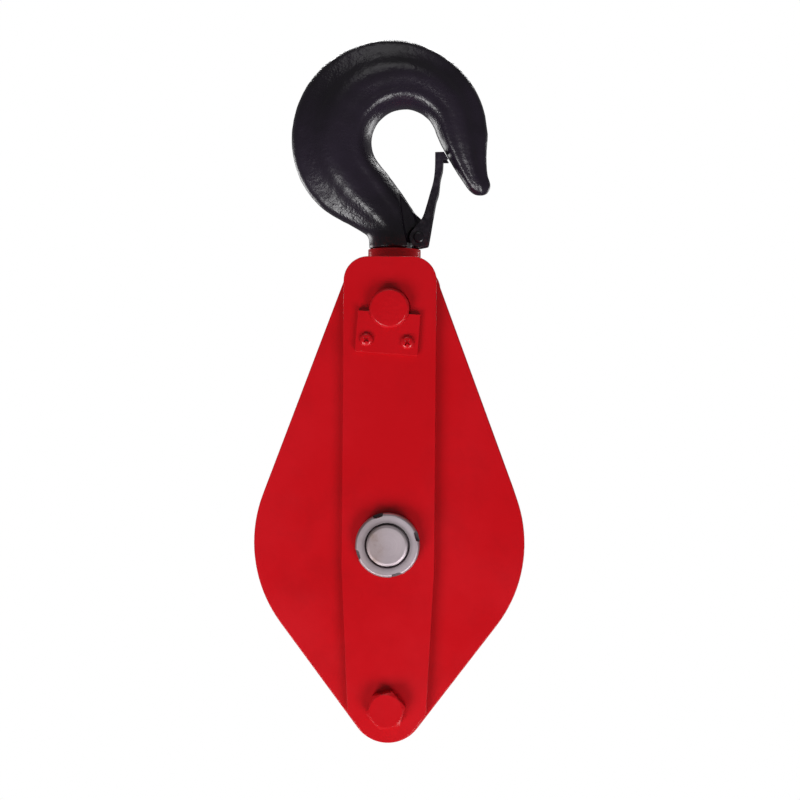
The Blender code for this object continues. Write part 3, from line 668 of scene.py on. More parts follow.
def plated_steel(name):
    """Zinc plated steel, slightly cloudy."""
    finish = Finish(name, 1.0)
    film = finish.use(PAINT_FILM, Ripple=120.0, Peel=1600.0)
    colour = finish.blend(film["Drift"], linear(158, 158, 160), linear(186, 187, 190))
    dulled = finish.times(finish.use(GRIME, Size=70.0)["Stain"], 0.35)
    finish.set("Base Color", finish.blend(dulled, colour, linear(104, 98, 92)))
    finish.set("Roughness", finish.spread(film["Drift"], 0.0, 1.0, 0.34, 0.46))
    finish.bump(film["Height"], 0.06 * MM, 0.6)
    return finish.material


def ground_steel(name):
    """Ground and polished bearing steel under a film of grease."""
    finish = Finish(name, 1.0)
    film = finish.use(PAINT_FILM, Ripple=200.0, Peel=1800.0)
    dirt = finish.use(GRIME, Size=120.0)
    finish.set("Base Color", finish.blend(dirt["Stain"], linear(205, 205, 206), linear(150, 138, 116)))
    finish.set("Roughness", finish.spread(dirt["Stain"], 0.0, 1.0, 0.16, 0.34))
    finish.bump(film["Height"], 0.02 * MM, 0.5)
    return finish.material


def turned_bronze(name):
    """Turned bearing bronze, dulled by grease."""
    finish = Finish(name, 1.0, (0, 0, AXLE_Z))
    marks = finish.use(TURNING_MARKS, Feed=1900.0)
    colour = finish.blend(marks["Streak"], linear(176, 130, 74), linear(202, 158, 98))
    dulled = finish.times(finish.use(GRIME, Size=90.0)["Stain"], 0.6)
    finish.set("Base Color", finish.blend(dulled, colour, linear(92, 66, 40)))
    finish.set("Roughness", finish.spread(marks["Streak"], 0.0, 1.0, 0.28, 0.42))
    finish.bump(marks["Height"], 0.04 * MM, 0.6)
    return finish.material


def sheave_iron(name):
    """Grey painted casting with a bright turned rope groove and turned hub faces."""
    finish = Finish(name, 0.0, (0, 0, AXLE_Z))
    skin = finish.use(FORGED_SKIN, Pebble=900.0)
    marks = finish.use(TURNING_MARKS, Feed=1300.0)
    film = finish.use(PAINT_FILM, Ripple=80.0, Peel=900.0)
    radius = finish.from_axis()
    sideways = finish.math("ABSOLUTE", finish.axes()["Y"])
    from_groove = finish.math("ABSOLUTE", finish.math("SUBTRACT", sideways, GROOVE_PLACE))
    in_groove = finish.spread(from_groove, 14.4 * MM, 15.2 * MM, 1.0, 0.0)
    turned_band = finish.times(in_groove, finish.spread(radius, 62 * MM, 64 * MM))
    hub = finish.spread(radius, 32.2 * MM, 31.2 * MM, 0.0, 1.0)
    bare = finish.math("MAXIMUM", turned_band, hub)
    paint = finish.blend(film["Drift"], linear(76, 78, 82), linear(96, 98, 102))
    metal = finish.blend(marks["Streak"], linear(160, 156, 154), linear(194, 190, 188))
    finish.set("Base Color", finish.blend(bare, paint, metal))
    finish.set("Metallic", bare)
    finish.set("Roughness", finish.spread(bare, 0.0, 1.0, 0.52, 0.34))
    rough_part = finish.times(skin["Height"], finish.math("SUBTRACT", 1.0, bare))
    finish.bump(finish.plus(rough_part, finish.times(marks["Height"], 0.3)), 0.16 * MM, 0.7)
    return finish.material


RED_PLATE = red_paint("red_plate_paint")
RED_FORGING = red_paint("red_forging_paint", forged=True)
BLACK_FORGING = black_enamel("black_forging_enamel")
BLACK_SHEET = black_enamel("black_sheet_enamel", forged=False)
AXLE_STEEL = turned_steel("turned_axle_steel", (0, 0, AXLE_Z), 0.75)
NUT_STEEL = turned_steel("turned_nut_steel", (0, 0, AXLE_Z), 0.3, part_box("rear_axle_nut")[1].y)
TUBE_STEEL = turned_steel("turned_tube_steel", (0, 0, BOLT_Z), 0.25)
PLATED = plated_steel("zinc_plated_steel")
POLISHED = ground_steel("ground_bearing_steel")
BRONZE = turned_bronze("turned_bronze")
SHEAVE_IRON = sheave_iron("sheave_casting")


# ---------------------------------------------------------------- hook

BOWL_CENTRE = Vector((6.6, -23.4)) * MM
BOWL_RADIUS = 24.0 * MM
BACK_CENTRE = Vector((-4.4, -20.6)) * MM
BACK_RADIUS = 72.0 * MM
NECK_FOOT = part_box("crosshead")[1].z + GAP
SHANK_RADIUS = 15.0 * MM
HOOK_SIDES = 88

# Sections in millimetres: inner point, outer point, half thickness, and how far the section
# leans from a plain oval (0) to the forged one (1), which has a bead beside the bowl.
POINT_SECTIONS = (
    ((60.1, -62.0), (63.6, -62.2), 2.0, 0.0),
    ((57.6, -61.2), (66.8, -61.2), 4.6, 0.3),
    ((54.9, -59.2), (69.0, -58.6), 6.5, 0.6),
    ((51.9, -55.6), (69.8, -54.6), 7.9, 0.8),
    ((46.1, -47.2), (67.8, -47.0), 9.6, 1.0),
    ((40.7, -38.6), (67.0, -38.0), 11.5, 1.0),
    ((35.3, -29.0), (67.0, -28.0), 13.5, 1.0),
)
BOWL_ANGLES = (12, 219)
BACK_ANGLES = (3, 206)
BOWL_STEPS = 14
BOWL_HALF = (14.8, 21.0)
NECK_SECTIONS = (
    ((-5.2, -46.8), (-60.8, -64.5), 20.3, 1.0),
    ((0.5, -54.5), (-51.9, -73.1), 19.9, 1.0),
    ((5.8, -61.6), (-42.7, -78.9), 19.5, 0.95),
    ((10.5, -68.5), (-33.9, -83.5), 19.1, 0.85),
    ((14.2, -74.5), (-26.3, -87.7), 18.8, 0.7),
    ((17.0, -82.0), (-20.4, -91.5), 18.7, 0.35),
    ((18.5, -91.0), (-18.6, -96.0), 18.6, 0.0),
    ((18.6, NECK_FOOT / MM), (-18.6, NECK_FOOT / MM), 18.6, 0.0),
)
# The forged section, as (distance in from the bowl, share of the half thickness) for a hook
# 56 mm deep: a bead, a shallow hollow, a full back and a drawn-in outer edge.
FORGED_SECTION = (
    (0.0, 0.0), (1.0, 0.31), (2.5, 0.52), (5.0, 0.74), (7.0, 0.86), (8.2, 0.905), (9.5, 0.94), (10.8, 0.955),
    (12.0, 0.945), (14.5, 0.918), (18.0, 0.945), (22.0, 0.99), (25.0, 1.0), (28.0, 0.985), (31.0, 0.945),
    (33.5, 0.885), (36.0, 0.80), (39.0, 0.675), (42.0, 0.59), (44.5, 0.525), (47.0, 0.475), (49.0, 0.44),
    (51.0, 0.40), (52.8, 0.345), (54.2, 0.265), (55.3, 0.16), (56.0, 0.0),
)
FORGED_DEPTH = 56.0
BEAD_REACH = 14.5
# Where the round neck falls away to the thinner rib that carries the latch.
RIB_EDGE = ((2.2, -56.0), (4.0, -65.0), (6.4, -82.7), (10.0, -98.8), (10.0, -104.0))
RIB_HALF = 7.6 * MM
LUG_HALF = 3.5 * MM
LUG_RADIUS = 6.0 * MM
LUG_CIRCLES = ((16.2, -82.3, 4.0), (8.0, -76.0, 5.0), (6.0, -94.0, 6.0))
EAR_POCKET = 7.8 * MM
EAR_NEAR = 8.2 * MM
SHEET = 2.0 * MM
PIN_RADIUS = 2.5 * MM
PIN_PLACE = (PIVOT.x, 0, PIVOT.y)


def hook_sections():
    """The hook's sections from its point to the foot of its neck, in metres."""
    rows = [(Vector(a) * MM, Vector(b) * MM, half * MM, lean) for a, b, half, lean in POINT_SECTIONS]
    inner_points = arc(BOWL_CENTRE, BOWL_RADIUS, *BOWL_ANGLES, BOWL_STEPS)
    outer_points = arc(BACK_CENTRE, BACK_RADIUS, *BACK_ANGLES, BOWL_STEPS)
    thin, thick = BOWL_HALF
    for index, (inner, outer) in enumerate(zip(inner_points, outer_points)):
        half = thin + (thick - thin) * math.sin(math.pi / 2 * index / BOWL_STEPS)
        rows.append((Vector(inner), Vector(outer), half * MM, 1.0))
    rows += [(Vector(a) * MM, Vector(b) * MM, half * MM, lean) for a, b, half, lean in NECK_SECTIONS]
    packed = [(*inner, *outer, half, lean) for inner, outer, half, lean in rows]
    smooth = flowing(packed, 4)
    return [(Vector(row[0:2]), Vector(row[2:4]), row[4], row[5]) for row in smooth]


def forged_share(along, depth):
    """Half thickness of the forged section, as a share, at a place between bowl and back."""
    bead = BEAD_REACH * min(1.0, depth / (FORGED_DEPTH * 0.8))
    place = along * depth
    if place < bead:
        place *= BEAD_REACH / bead
    else:
        place = BEAD_REACH + (place - bead) / (depth - bead) * (FORGED_DEPTH - BEAD_REACH)
    for (low, start), (high, end) in zip(FORGED_SECTION, FORGED_SECTION[1:]):
        if place <= high:
            return start + (end - start) * (place - low) / (high - low)
    return 0.0


def hook_ring(bm, section):
    """One ring of the hook, between a plain oval and the forged section."""
    inner, outer, half, lean = section
    ring = bmesh.ops.create_circle(bm, segments=HOOK_SIDES, radius=1)["verts"]
    depth = (outer - inner).length / MM
    for index, vert in enumerate(ring):
        angle = math.tau * index / HOOK_SIDES
        along = (1 - math.cos(angle)) / 2
        share = abs(math.sin(angle)) * (1 - lean) + forged_share(along, depth) * lean
        point = inner.lerp(outer, along)
        vert.co = (point.x, math.copysign(half * share, math.sin(angle)), point.y)
    return list({edge for vert in ring for edge in vert.link_edges})


def make_hook():
    """The forged hook: lofted, given its lug and flats, melted to one skin, then drilled."""
    bm = bmesh.new()
    rings = [hook_ring(bm, section) for section in hook_sections()]
    for first, second in zip(rings, rings[1:]):
        bmesh.ops.bridge_loops(bm, edges=first + second)
    for end in (rings[0], rings[-1]):
        bmesh.ops.contextual_create(bm, geom=end)
    bmesh.ops.recalc_face_normals(bm, faces=bm.faces)
    hook = thing("forged_hook", bm)
    lug = belt([(*PIVOT, LUG_RADIUS), *millimetres(LUG_CIRCLES)], 8)
    blank = LUG_HALF + 2 * MM
    carve(hook, "UNION", plate([lug], -blank, blank, 0))
    edge = millimetres(RIB_EDGE)
    flat = flowing(edge, 6) + [(32 * MM, edge[-1][1]), (32 * MM, edge[0][1])]
    pocket = circle(PIVOT, EAR_POCKET, 48)
    cuts = []
    for _, side in SIDES:
        cuts.append(plate([flat], *sorted((side * RIB_HALF, side * 30 * MM)), 0))
        cuts.append(plate([pocket], *sorted((side * LUG_HALF, side * 30 * MM)), 0))
    carve(hook, "DIFFERENCE", *cuts)
    forge(hook, 0.95 * MM, 3)
    unevenness(hook, 7 * MM, 0.16 * MM)
    wide, below = 40 * MM, NECK_FOOT - 9 * MM
    trim = turned([(0, below), (wide, below), (wide, NECK_FOOT), (0, NECK_FOOT)])
    carve(hook, "DIFFERENCE", pin_drill("Y", PIN_PLACE, 20 * MM, 40), trim)
    present(hook, "hook", ["hook"], BLACK_FORGING, sharp=50, weighted=False)
    make_shank()


def make_shank():
    """The turned shank below the neck, threaded for the hook nut."""
    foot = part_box("hook")[0].z
    nut_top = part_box("hook_nut")[1].z
    thread = threaded(SHANK_RADIUS, foot + 1.7 * MM, nut_top, 2 * MM)
    top = NECK_FOOT + 4 * MM
    section = [(0, foot), (SHANK_RADIUS - 1.9 * MM, foot), *thread, (SHANK_RADIUS, nut_top + 0.3 * MM)]
    section += [(SHANK_RADIUS, top), (0, top)]
    shank = thing("hook_shank", turned(section, "Z", 96))
    carve(shank, "DIFFERENCE", pin_drill("X", middle("hook_nut_pin"), 30 * MM, 32))
    present(shank, "hook", ["hook"], PLATED)


# ---------------------------------------------------------------- latch

LATCH_FOOT = ((24.3, -99.3), (25.0, -97.5), (26.3, -90.1), (27.6, -81.8))
LATCH_BACK = (
    (29.0, -73.9), (30.3, -66.7), (32.1, -60.6), (33.2, -50.9), (34.8, -43.7), (35.2, -37.2),
)
LATCH_LIP = ((35.2, -37.2), (39.2, -37.2), (35.9, -31.7), (29.5, -31.9))
LATCH_INNER = (
    (29.5, -31.9), (29.4, -43.7), (28.4, -52.8), (26.0, -61.8), (23.8, -69.7), (20.4, -79.7), (13.6, -88.4),
)
EAR_RADIUS = 6.8 * MM
WEB_FOOT = -77.5 * MM


def make_latch():
    """The bent sheet latch with its ears, its riveted pin and its torsion spring."""
    outer = flowing(millimetres(LATCH_FOOT + LATCH_BACK), 5)
    inner = flowing(millimetres(LATCH_INNER), 5)
    lip = eased(millimetres(LATCH_LIP), 0.6 * MM)
    outline = outer[:-1] + lip + inner[1:] + arc(PIVOT, EAR_RADIUS, 135, 285, 30)
    far = EAR_NEAR + SHEET
    latch = thing("sheet_latch", plate([outline], -far, far, 0))
    web = [(x - SHEET, z) for x, z in outer if z > WEB_FOOT]
    left = 5 * MM
    hollow = [(left, -105 * MM), (30 * MM, -105 * MM), (30 * MM, WEB_FOOT), (web[0][0], WEB_FOOT)]
    hollow += web + [(42 * MM, -39.2 * MM), (42 * MM, -33.7 * MM), (left, -33.7 * MM)]
    hole = pin_drill("Y", PIN_PLACE, 20 * MM, 40)
    carve(latch, "DIFFERENCE", plate([hollow], -EAR_NEAR, EAR_NEAR, 0), hole)
    round_edges(latch, 0.45 * MM, 3)
    present(latch, "latch", ["safety_latch"], BLACK_SHEET)
    make_latch_pin(far + GAP)
    make_latch_spring()


def make_latch_pin(seat):
    """The pin with a domed rivet head at each end."""
    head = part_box("latch_pin")[1].y - seat
    wide = reach("latch_pin").x / 2
    dome = [(wide, seat), (wide, seat + 0.35 * head), (0.75 * wide, seat + 0.85 * head), (0, seat + head)]
    section = both_ways([(PIN_RADIUS, seat)] + dome)
    pin = thing("riveted_latch_pin", turned(eased(section, 0.4 * MM), "Y", 48, PIN_PLACE))
    present(pin, "hook", ["latch_pin"], BLACK_SHEET)


def make_latch_spring():
    """The torsion spring: a leg in the latch's channel, coils on the pin, a leg on the neck."""
    wire = 0.6 * MM
    coil = 4.0 * MM
    turns = 2.25
    start = LUG_HALF + GAP + wire
    pitch = 2 * wire + 0.1 * MM
    outside = start + pitch * turns
    points = [(10.6 * MM, outside, 34.3 * MM), (coil * 1.5, outside, 12 * MM), (coil, outside, 3 * MM)]
    for index in range(round(40 * turns) + 1):
        angle = -math.tau * index / 40
        points.append((coil * math.cos(angle), outside - pitch * index / 40, coil * math.sin(angle)))
    points.append((-6.2 * MM, start, -coil))
    curve = bpy.data.curves.new("latch_torsion_spring", "CURVE")
    curve.dimensions = "3D"
    curve.bevel_depth = wire
    curve.bevel_resolution = 5
    curve.use_fill_caps = True
    line = curve.splines.new("POLY")
    line.points.add(len(points) - 1)
    for target, (x, y, z) in zip(line.points, points):
        target.co = (x + PIVOT.x, y, z + PIVOT.y, 1)
    path = bpy.data.objects.new("spring_path", curve)
    bpy.context.scene.collection.objects.link(path)
    bm = bmesh.new()
    bm.from_mesh(path.to_mesh())
    bpy.data.objects.remove(path)
    bmesh.ops.recalc_face_normals(bm, faces=bm.faces)
    spring = thing("latch_torsion_spring", bm)
    present(spring, "latch", ["latch_spring"], PLATED, sharp=60, weighted=False)


# ---------------------------------------------------------------- crosshead, bearing, nut

TRUNNION_RADIUS = 14.0 * MM
TRUNNION_GROOVE = 10.0 * MM
BOSS_RADIUS = 19.2 * MM


def make_crosshead():
    """The forged crosshead, its turned trunnions and the boss that the hook's neck rests on."""
    low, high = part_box("crosshead")
    side = high.x
    shoulder = 2 * TRUNNION_Z - low.z
    rim = high.z - 1 * MM
    body = [(0, low.z), (side, low.z), (side, shoulder), (BOSS_RADIUS, shoulder)]
    body += [(BOSS_RADIUS, rim), (0, rim)]
    block = thing("forged_crosshead", turned(body))
    arm = brick((34 * MM, 79.4 * MM, shoulder - low.z - 6 * MM), (0, 0, TRUNNION_Z))
    bmesh.ops.bevel(
        arm, geom=arm.edges[:], offset=3 * MM, offset_type="OFFSET", segments=4, profile=0.5,
        affect="EDGES", material=-1,
    )
    carve(block, "UNION", arm)
    forge(block, 1.2 * MM, 4)
    unevenness(block, 9 * MM, 0.12 * MM)
    keeper_far, keeper_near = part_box("front_keeper_plate")
    near, far = -keeper_near.y - GAP, -keeper_far.y + GAP
    end = high.y
    half = [(TRUNNION_RADIUS, near), (TRUNNION_GROOVE, near), (TRUNNION_GROOVE, far), (TRUNNION_RADIUS, far)]
    half += [(TRUNNION_RADIUS, end - 1.5 * MM), (TRUNNION_RADIUS - 1.5 * MM, end), (0, end)]
    trunnions = turned(eased(both_ways(half), 0.5 * MM), "Y", 96, (0, 0, TRUNNION_Z))
    seat, foot = shoulder - 4 * MM, low.z - 9 * MM
    boss = turned(eased([(0, seat), (BOSS_RADIUS, seat), (BOSS_RADIUS, high.z), (0, high.z)], 0.6 * MM))
    bore = turned([(0, foot), (SHANK_RADIUS + GAP, foot), (SHANK_RADIUS + GAP, 0), (0, 0)])
    carve(block, "UNION", trunnions, boss)
    carve(block, "DIFFERENCE", bore)
    present(block, "crosshead", ["crosshead"], RED_FORGING, sharp=42, weighted=False)


def make_bearing():
    """The thrust bearing: two grooved washers, a pierced cage and its balls."""
    outer = reach("bearing_upper_washer").x / 2
    bore = SHANK_RADIUS + GAP
    ball = reach("bearing_ball_01").z / 2
    pitch = middle("bearing_ball_01").x
    for name, body in (("upper", "crosshead"), ("lower", "hook")):
        low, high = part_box(f"bearing_{name}_washer")
        plain, track = (high.z, low.z) if name == "upper" else (low.z, high.z)
        inward = math.copysign(0.9 * MM, plain - track)
        groove = [(pitch + 3 * MM, track), (pitch + 1.6 * MM, track + 0.8 * inward), (pitch, track + inward)]
        groove += [(pitch - 1.6 * MM, track + 0.8 * inward), (pitch - 3 * MM, track)]
        section = [(bore, plain), (outer, plain), (outer, track), *groove, (bore, track)]
        washer = thing(f"{name}_race", turned(eased(section, 0.4 * MM, closed=True)))
        present(washer, body, [f"bearing_{name}_washer"], POLISHED)
    low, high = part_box("bearing_cage")
    places = circle((0.0, 0.0), pitch, 12)
    loops = [circle((0.0, 0.0), high.x, 96), circle((0.0, 0.0), 15.9 * MM, 96)]
    loops += [circle(place, ball + GAP, 32) for place in places]
    half = (high.z - low.z) / 2
    cage = thing("pierced_cage", laid_flat(plate(loops, -half, half, 0.25 * MM, 2), BALL_Z))
    present(cage, "bearing_cage", ["bearing_cage"], BRONZE)
    balls = bmesh.new()
    for x, y in places:
        made = bmesh.ops.create_icosphere(balls, subdivisions=4, radius=ball)
        bmesh.ops.translate(balls, vec=(x, y, BALL_Z), verts=made["verts"])
    names = [f"bearing_ball_{index:02}" for index in range(1, 13)]
    present(thing("bearing_balls", balls), "bearing_cage", names, POLISHED, sharp=60)


def hex_nut(name, centre, flats, turn, near, far, bore):
    """A hex nut or bolt head whose corners are turned off on both faces."""
    loops = [hexagon(centre, flats, turn)]
    if bore:
        loops.append(circle(centre, bore, 64))
    nut = thing(name, plate(loops, near, far, 0))
    corner, face = flats / 2 / math.cos(math.pi / 6), 0.47 * flats
    drop = (corner - face) * math.tan(math.radians(30))
    cone = [(0, near), (face, near), (corner, near + drop), (corner, far - drop), (face, far), (0, far)]
    carve(nut, "INTERSECT", turned(cone, "Y", 96, (centre[0], 0, centre[1])))
    round_edges(nut, 0.25 * MM, 2, 20)
    return nut


def make_hook_nut():
    """The hex nut under the bearing, with the spring pin that locks it."""
    low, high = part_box("hook_nut")
    flats, tall = reach("hook_nut").x, high.z - low.z
    nut = hex_nut("shank_nut", (0.0, 0.0), flats, math.radians(30), 0, tall, SHANK_RADIUS + GAP)
    bm = bmesh.new()
    bm.from_mesh(nut.data)
    laid_flat(bm, high.z).to_mesh(nut.data)
    bm.free()
    place = middle("hook_nut_pin")
    carve(nut, "DIFFERENCE", pin_drill("X", place, 30 * MM, 32))
    present(nut, "hook", ["hook_nut"], PLATED)
    half = reach("hook_nut_pin").x / 2
    section = ring_section(1.3 * MM, PIN_RADIUS, -half, half, 0.3 * MM)
    pin = thing("spring_pin", turned(section, "X", 40, place))
    slit = brick((60 * MM, 0.7 * MM, 4 * MM), (place.x, place.y, place.z + 2 * MM))
    carve(pin, "DIFFERENCE", slit)
    present(pin, "hook", ["hook_nut_pin"], PLATED)


# ---------------------------------------------------------------- plates and fittings


def cheek_circles():
    """Circles that the side plate's outline is wrapped round, from the tie bolt upwards."""
    low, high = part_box("front_cheek")
    radius = high.x
    tip = BOLT_Z - low.z
    corner = 12 * MM
    top = high.z - corner
    return [
        (0.0, BOLT_Z, tip),
        (0.0, AXLE_Z, radius),
        (21.8 * MM, top, corner),
        (-21.8 * MM, top, corner),
        (0.0, AXLE_Z, radius),
    ]


def strap_outline():
    """A strap with round top corners, tapering below the axle to just inside the side plate."""
    (_, bolt_z, cheek_tip), (_, axle_z, cheek_radius) = cheek_circles()[:2]
    low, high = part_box("front_strap")
    tip = bolt_z - low.z
    inset = cheek_tip - tip
    half, corner_radius, slope, taper = high.x, 17 * MM, 0.0488, -17.8 * MM
    lean = math.asin((cheek_radius - cheek_tip) / (axle_z - bolt_z))
    span = cheek_radius - inset - (half - taper * slope) * math.cos(lean)
    corner_z = span / (slope * math.cos(lean) - math.sin(lean))
    corner_x = half - (taper - corner_z) * slope
    angle = math.degrees(lean)
    points = arc((0.0, bolt_z), tip, -180 + angle, -angle, 40)
    points += [(corner_x, axle_z + corner_z), (half, axle_z + taper)]
    flat = half - corner_radius
    top = high.z - corner_radius
    points += arc((flat, top), corner_radius, 0, 90, 20) + arc((-flat, top), corner_radius, 90, 180, 20)
    return points + [(-half, axle_z + taper), (-corner_x, axle_z + corner_z)]


KEEPER_TILT = math.radians(3.9)
SCREWS = [(node, middle(f"front_keeper_screw_{node}")) for node in ("left", "right")]
SCREW_RADIUS = 2.5 * MM
BOLT_RADIUS = 8 * MM


def make_plates():
    """Side plates, straps, and the plate between the sheaves."""
    axle, trunnion, bolt = (0.0, AXLE_Z), (0.0, TRUNNION_Z), (0.0, BOLT_Z)
    axle_hole = circle(axle, SHANK_RADIUS + GAP)
    trunnion_hole = circle(trunnion, TRUNNION_RADIUS + GAP)
    bolt_hole = circle(bolt, BOLT_RADIUS + GAP)
    screw_holes = [circle((place.x, place.z), SCREW_RADIUS + GAP, 24) for _, place in SCREWS]
    for name, _ in SIDES:
        low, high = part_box(f"{name}_cheek")
        cheek = plate([belt(cheek_circles()), axle_hole, trunnion_hole, bolt_hole], low.y, high.y, 0.7 * MM)
        present_red(thing(f"{name}_side_plate", cheek), f"{name}_cheek")
        low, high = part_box(f"{name}_strap")
        loops = [strap_outline(), axle_hole, trunnion_hole, bolt_hole, *screw_holes]
        strap = plate(loops, low.y, high.y, 0.9 * MM, 4)
        present_red(thing(f"{name}_load_strap", strap), f"{name}_strap")
    low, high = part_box("middle_plate")
    loops = [belt(cheek_circles()[:2]), circle(axle, JOURNAL_RADIUS + GAP), bolt_hole]
    present_red(thing("dividing_plate", plate(loops, low.y, high.y, 0.6 * MM)), "middle_plate")


def keeper_outline():
    """The keeper plate, its top edge hollowed to sit in the trunnion's groove."""
    notch = TRUNNION_GROOVE + GAP
    half, top, tall = 22 * MM, -2.8 * MM, 28.9 * MM
    dip = math.degrees(math.asin(-top / notch))
    points = arc((0.0, 0.0), notch, 180 + dip, 360 - dip, 32)
    corners = eased([(half, top), (half, top - tall), (-half, top - tall), (-half, top)], 0.8 * MM)
    return [(x, TRUNNION_Z + z) for x, z in turned_points(points + corners, KEEPER_TILT)]


def cross_recess(place, side, face):
    """The tapered cross in a screw head."""
    bm = bmesh.new()
    arm, half, depth = 2.7 * MM, 0.55 * MM, 1.8 * MM
    points = [(arm, -half), (arm, half), (half, half), (half, arm), (-half, arm), (-half, half)]
    points += [(-x, -z) for x, z in points]
    loop = [bm.verts.new((x, 0, z)) for x, z in turned_points(points, math.radians(40))]
    top = bm.faces.new(loop)
    floor = bmesh.ops.extrude_face_region(bm, geom=[top])["geom"]
    deep = [item for item in floor if isinstance(item, bmesh.types.BMVert)]
    bmesh.ops.scale(bm, vec=(0.55, 1, 0.55), verts=deep)
    bmesh.ops.translate(bm, vec=(0, -side * (depth + 1 * MM), 0), verts=deep)
    bmesh.ops.recalc_face_normals(bm, faces=bm.faces)
    bmesh.ops.translate(bm, vec=(place.x, side * (face + 1 * MM), place.z), verts=bm.verts)
    return bm


def make_keepers():
    """Keeper plates and their cross recess screws."""
    for name, side in SIDES:
        low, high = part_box(f"{name}_keeper_plate")
        holes = [circle((place.x, place.z), SCREW_RADIUS + GAP, 24) for _, place in SCREWS]
        keeper = thing(f"{name}_keeper", plate([keeper_outline(), *holes], low.y, high.y, 0.45 * MM))
        present_red(keeper, f"{name}_keeper_plate")
        seat = max(abs(low.y), abs(high.y)) + GAP
        for which, place in SCREWS:
            node = f"{name}_keeper_screw_{which}"
            foot, face = sorted(abs(corner.y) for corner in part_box(node))
            wide = reach(node).x / 2
            head = face - seat
            section = [(0, foot), (SCREW_RADIUS, foot), (SCREW_RADIUS, seat), (wide, seat)]
            section += [(wide, seat + 0.45 * head), (0.75 * wide, seat + 0.87 * head)]
            section += [(0.4 * wide, face), (0, face)]
            section = [(radius, side * height) for radius, height in eased(section, 0.7 * MM)]
            screw = thing(f"{name}_{which}_pan_screw", turned(section, "Y", 48, (place.x, 0, place.z)))
            carve(screw, "DIFFERENCE", cross_recess(place, side, face))
            round_edges(screw, 0.12 * MM, 2, 45)
            present_red(screw, node)


def make_tie_bolt():
    """The tie bolt with its chamfered head and thread, its washer, nut and spacer tubes."""
    centre = (0.0, BOLT_Z)
    flats = 24 * MM
    low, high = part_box("tie_bolt")
    seat = -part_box("front_strap")[0].y + GAP
    head = hex_nut("tie_bolt_head", centre, flats, -math.radians(12.3), low.y, -seat, 0)
    nut_low, nut_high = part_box("tie_bolt_nut")
    thread = threaded(BOLT_RADIUS, nut_low.y - 2 * MM, high.y - 1.2 * MM, 1.6 * MM)
    start = low.y + 3 * MM
    section = [(0, start), (BOLT_RADIUS, start), *thread, (BOLT_RADIUS - 1.2 * MM, high.y), (0, high.y)]
    carve(head, "UNION", turned(section, "Y", 64, (0, 0, BOLT_Z)))
    present_red(head, "tie_bolt")
    bore = BOLT_RADIUS + GAP
    nut = hex_nut("tie_nut", centre, flats, math.radians(8), nut_low.y, nut_high.y, bore)
    present_red(nut, "tie_bolt_nut")
    low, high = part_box("tie_bolt_washer")
    washer = turned(ring_section(bore, high.x, low.y, high.y), "Y", 64, (0, 0, BOLT_Z))
    present_red(thing("tie_washer", washer), "tie_bolt_washer")
    for name, _ in SIDES:
        low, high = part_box(f"{name}_spacer_tube")
        section = ring_section(bore, high.x, low.y, high.y, 0.6 * MM)
        tube = thing(f"{name}_distance_tube", turned(section, "Y", 64, (0, 0, BOLT_Z)))
        present(tube, "frame", [f"{name}_spacer_tube"], TUBE_STEEL)


# ---------------------------------------------------------------- axle and sheaves

JOURNAL_RADIUS = 17.5 * MM
NUT_RADIUS = 22.5 * MM
NUT_SLOT_WIDTH = 7.4 * MM
NUT_SLOT_DEPTH = 2.4 * MM
NUT_SLOT_HEIGHT = 5.5 * MM
NUT_TURN = math.radians(17.8)


def make_axle():
    """The shouldered axle and the notched round nut on each end."""
    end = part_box("axle")[1].y
    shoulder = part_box("rear_cheek")[0].y - GAP
    nut_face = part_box("rear_axle_nut")[1].y
    radius = SHANK_RADIUS
    root = nut_face - 2.5 * MM
    half = [(JOURNAL_RADIUS, shoulder), (radius, shoulder), (radius, root), (AXLE_TIP_RADIUS, root)]
    half += [(AXLE_TIP_RADIUS, end - 0.8 * MM), (AXLE_TIP_RADIUS - 1.2 * MM, end - 0.15 * MM)]
    half += [(AXLE_TIP_RADIUS - 1.9 * MM, end), (0, end)]
    section = eased(both_ways(half), 0.25 * MM)
    axle = thing("shouldered_axle", turned(section, "Y", 128, (0, 0, AXLE_Z)))
    present(axle, "frame", ["axle"], AXLE_STEEL)
    for name, side in SIDES:
        make_axle_nut(name, side)


def make_axle_nut(name, side):
    """A round nut with a dished face and four slots cut part of the way through."""
    low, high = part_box(f"{name}_axle_nut")
    near, far = sorted((abs(low.y), abs(high.y)))
    bore = SHANK_RADIUS + GAP
    section = [(bore, near), (NUT_RADIUS - 0.8 * MM, near), (NUT_RADIUS, near + 0.8 * MM)]
    section += [(NUT_RADIUS, far - 1.9 * MM), (NUT_RADIUS - 0.5 * MM, far - 0.7 * MM)]
    section += [(NUT_RADIUS - 1.5 * MM, far), (bore + 0.4 * MM, far), (bore, far - 1.2 * MM)]
    section = [(r, side * height) for r, height in eased(section, 0.4 * MM, closed=True)]
    nut = thing(f"{name}_notched_nut", turned(section, "Y", 128, (0, 0, AXLE_Z)))
    slots = []
    for quarter in range(4):
        inside, outside = NUT_RADIUS - NUT_SLOT_DEPTH, NUT_RADIUS + 5 * MM
        flare = 0.8 * MM
        half = NUT_SLOT_WIDTH / 2
        block = [(inside, -half + flare), (NUT_RADIUS + flare, -half - flare), (outside, -half - flare)]
        block += [(x, -z) for x, z in reversed(block)]
        block = turned_points(eased(block, 0.9 * MM, closed=True), -NUT_TURN - math.tau * quarter / 4)
        block = [(x, AXLE_Z + z) for x, z in block]
        slots.append(plate([block], *sorted((side * (far - NUT_SLOT_HEIGHT), side * (far + 5 * MM))), 0))
    carve(nut, "DIFFERENCE", *slots)
    round_edges(nut, 0.35 * MM, 3, 50)
    present(nut, "frame", [f"{name}_axle_nut"], NUT_STEEL)


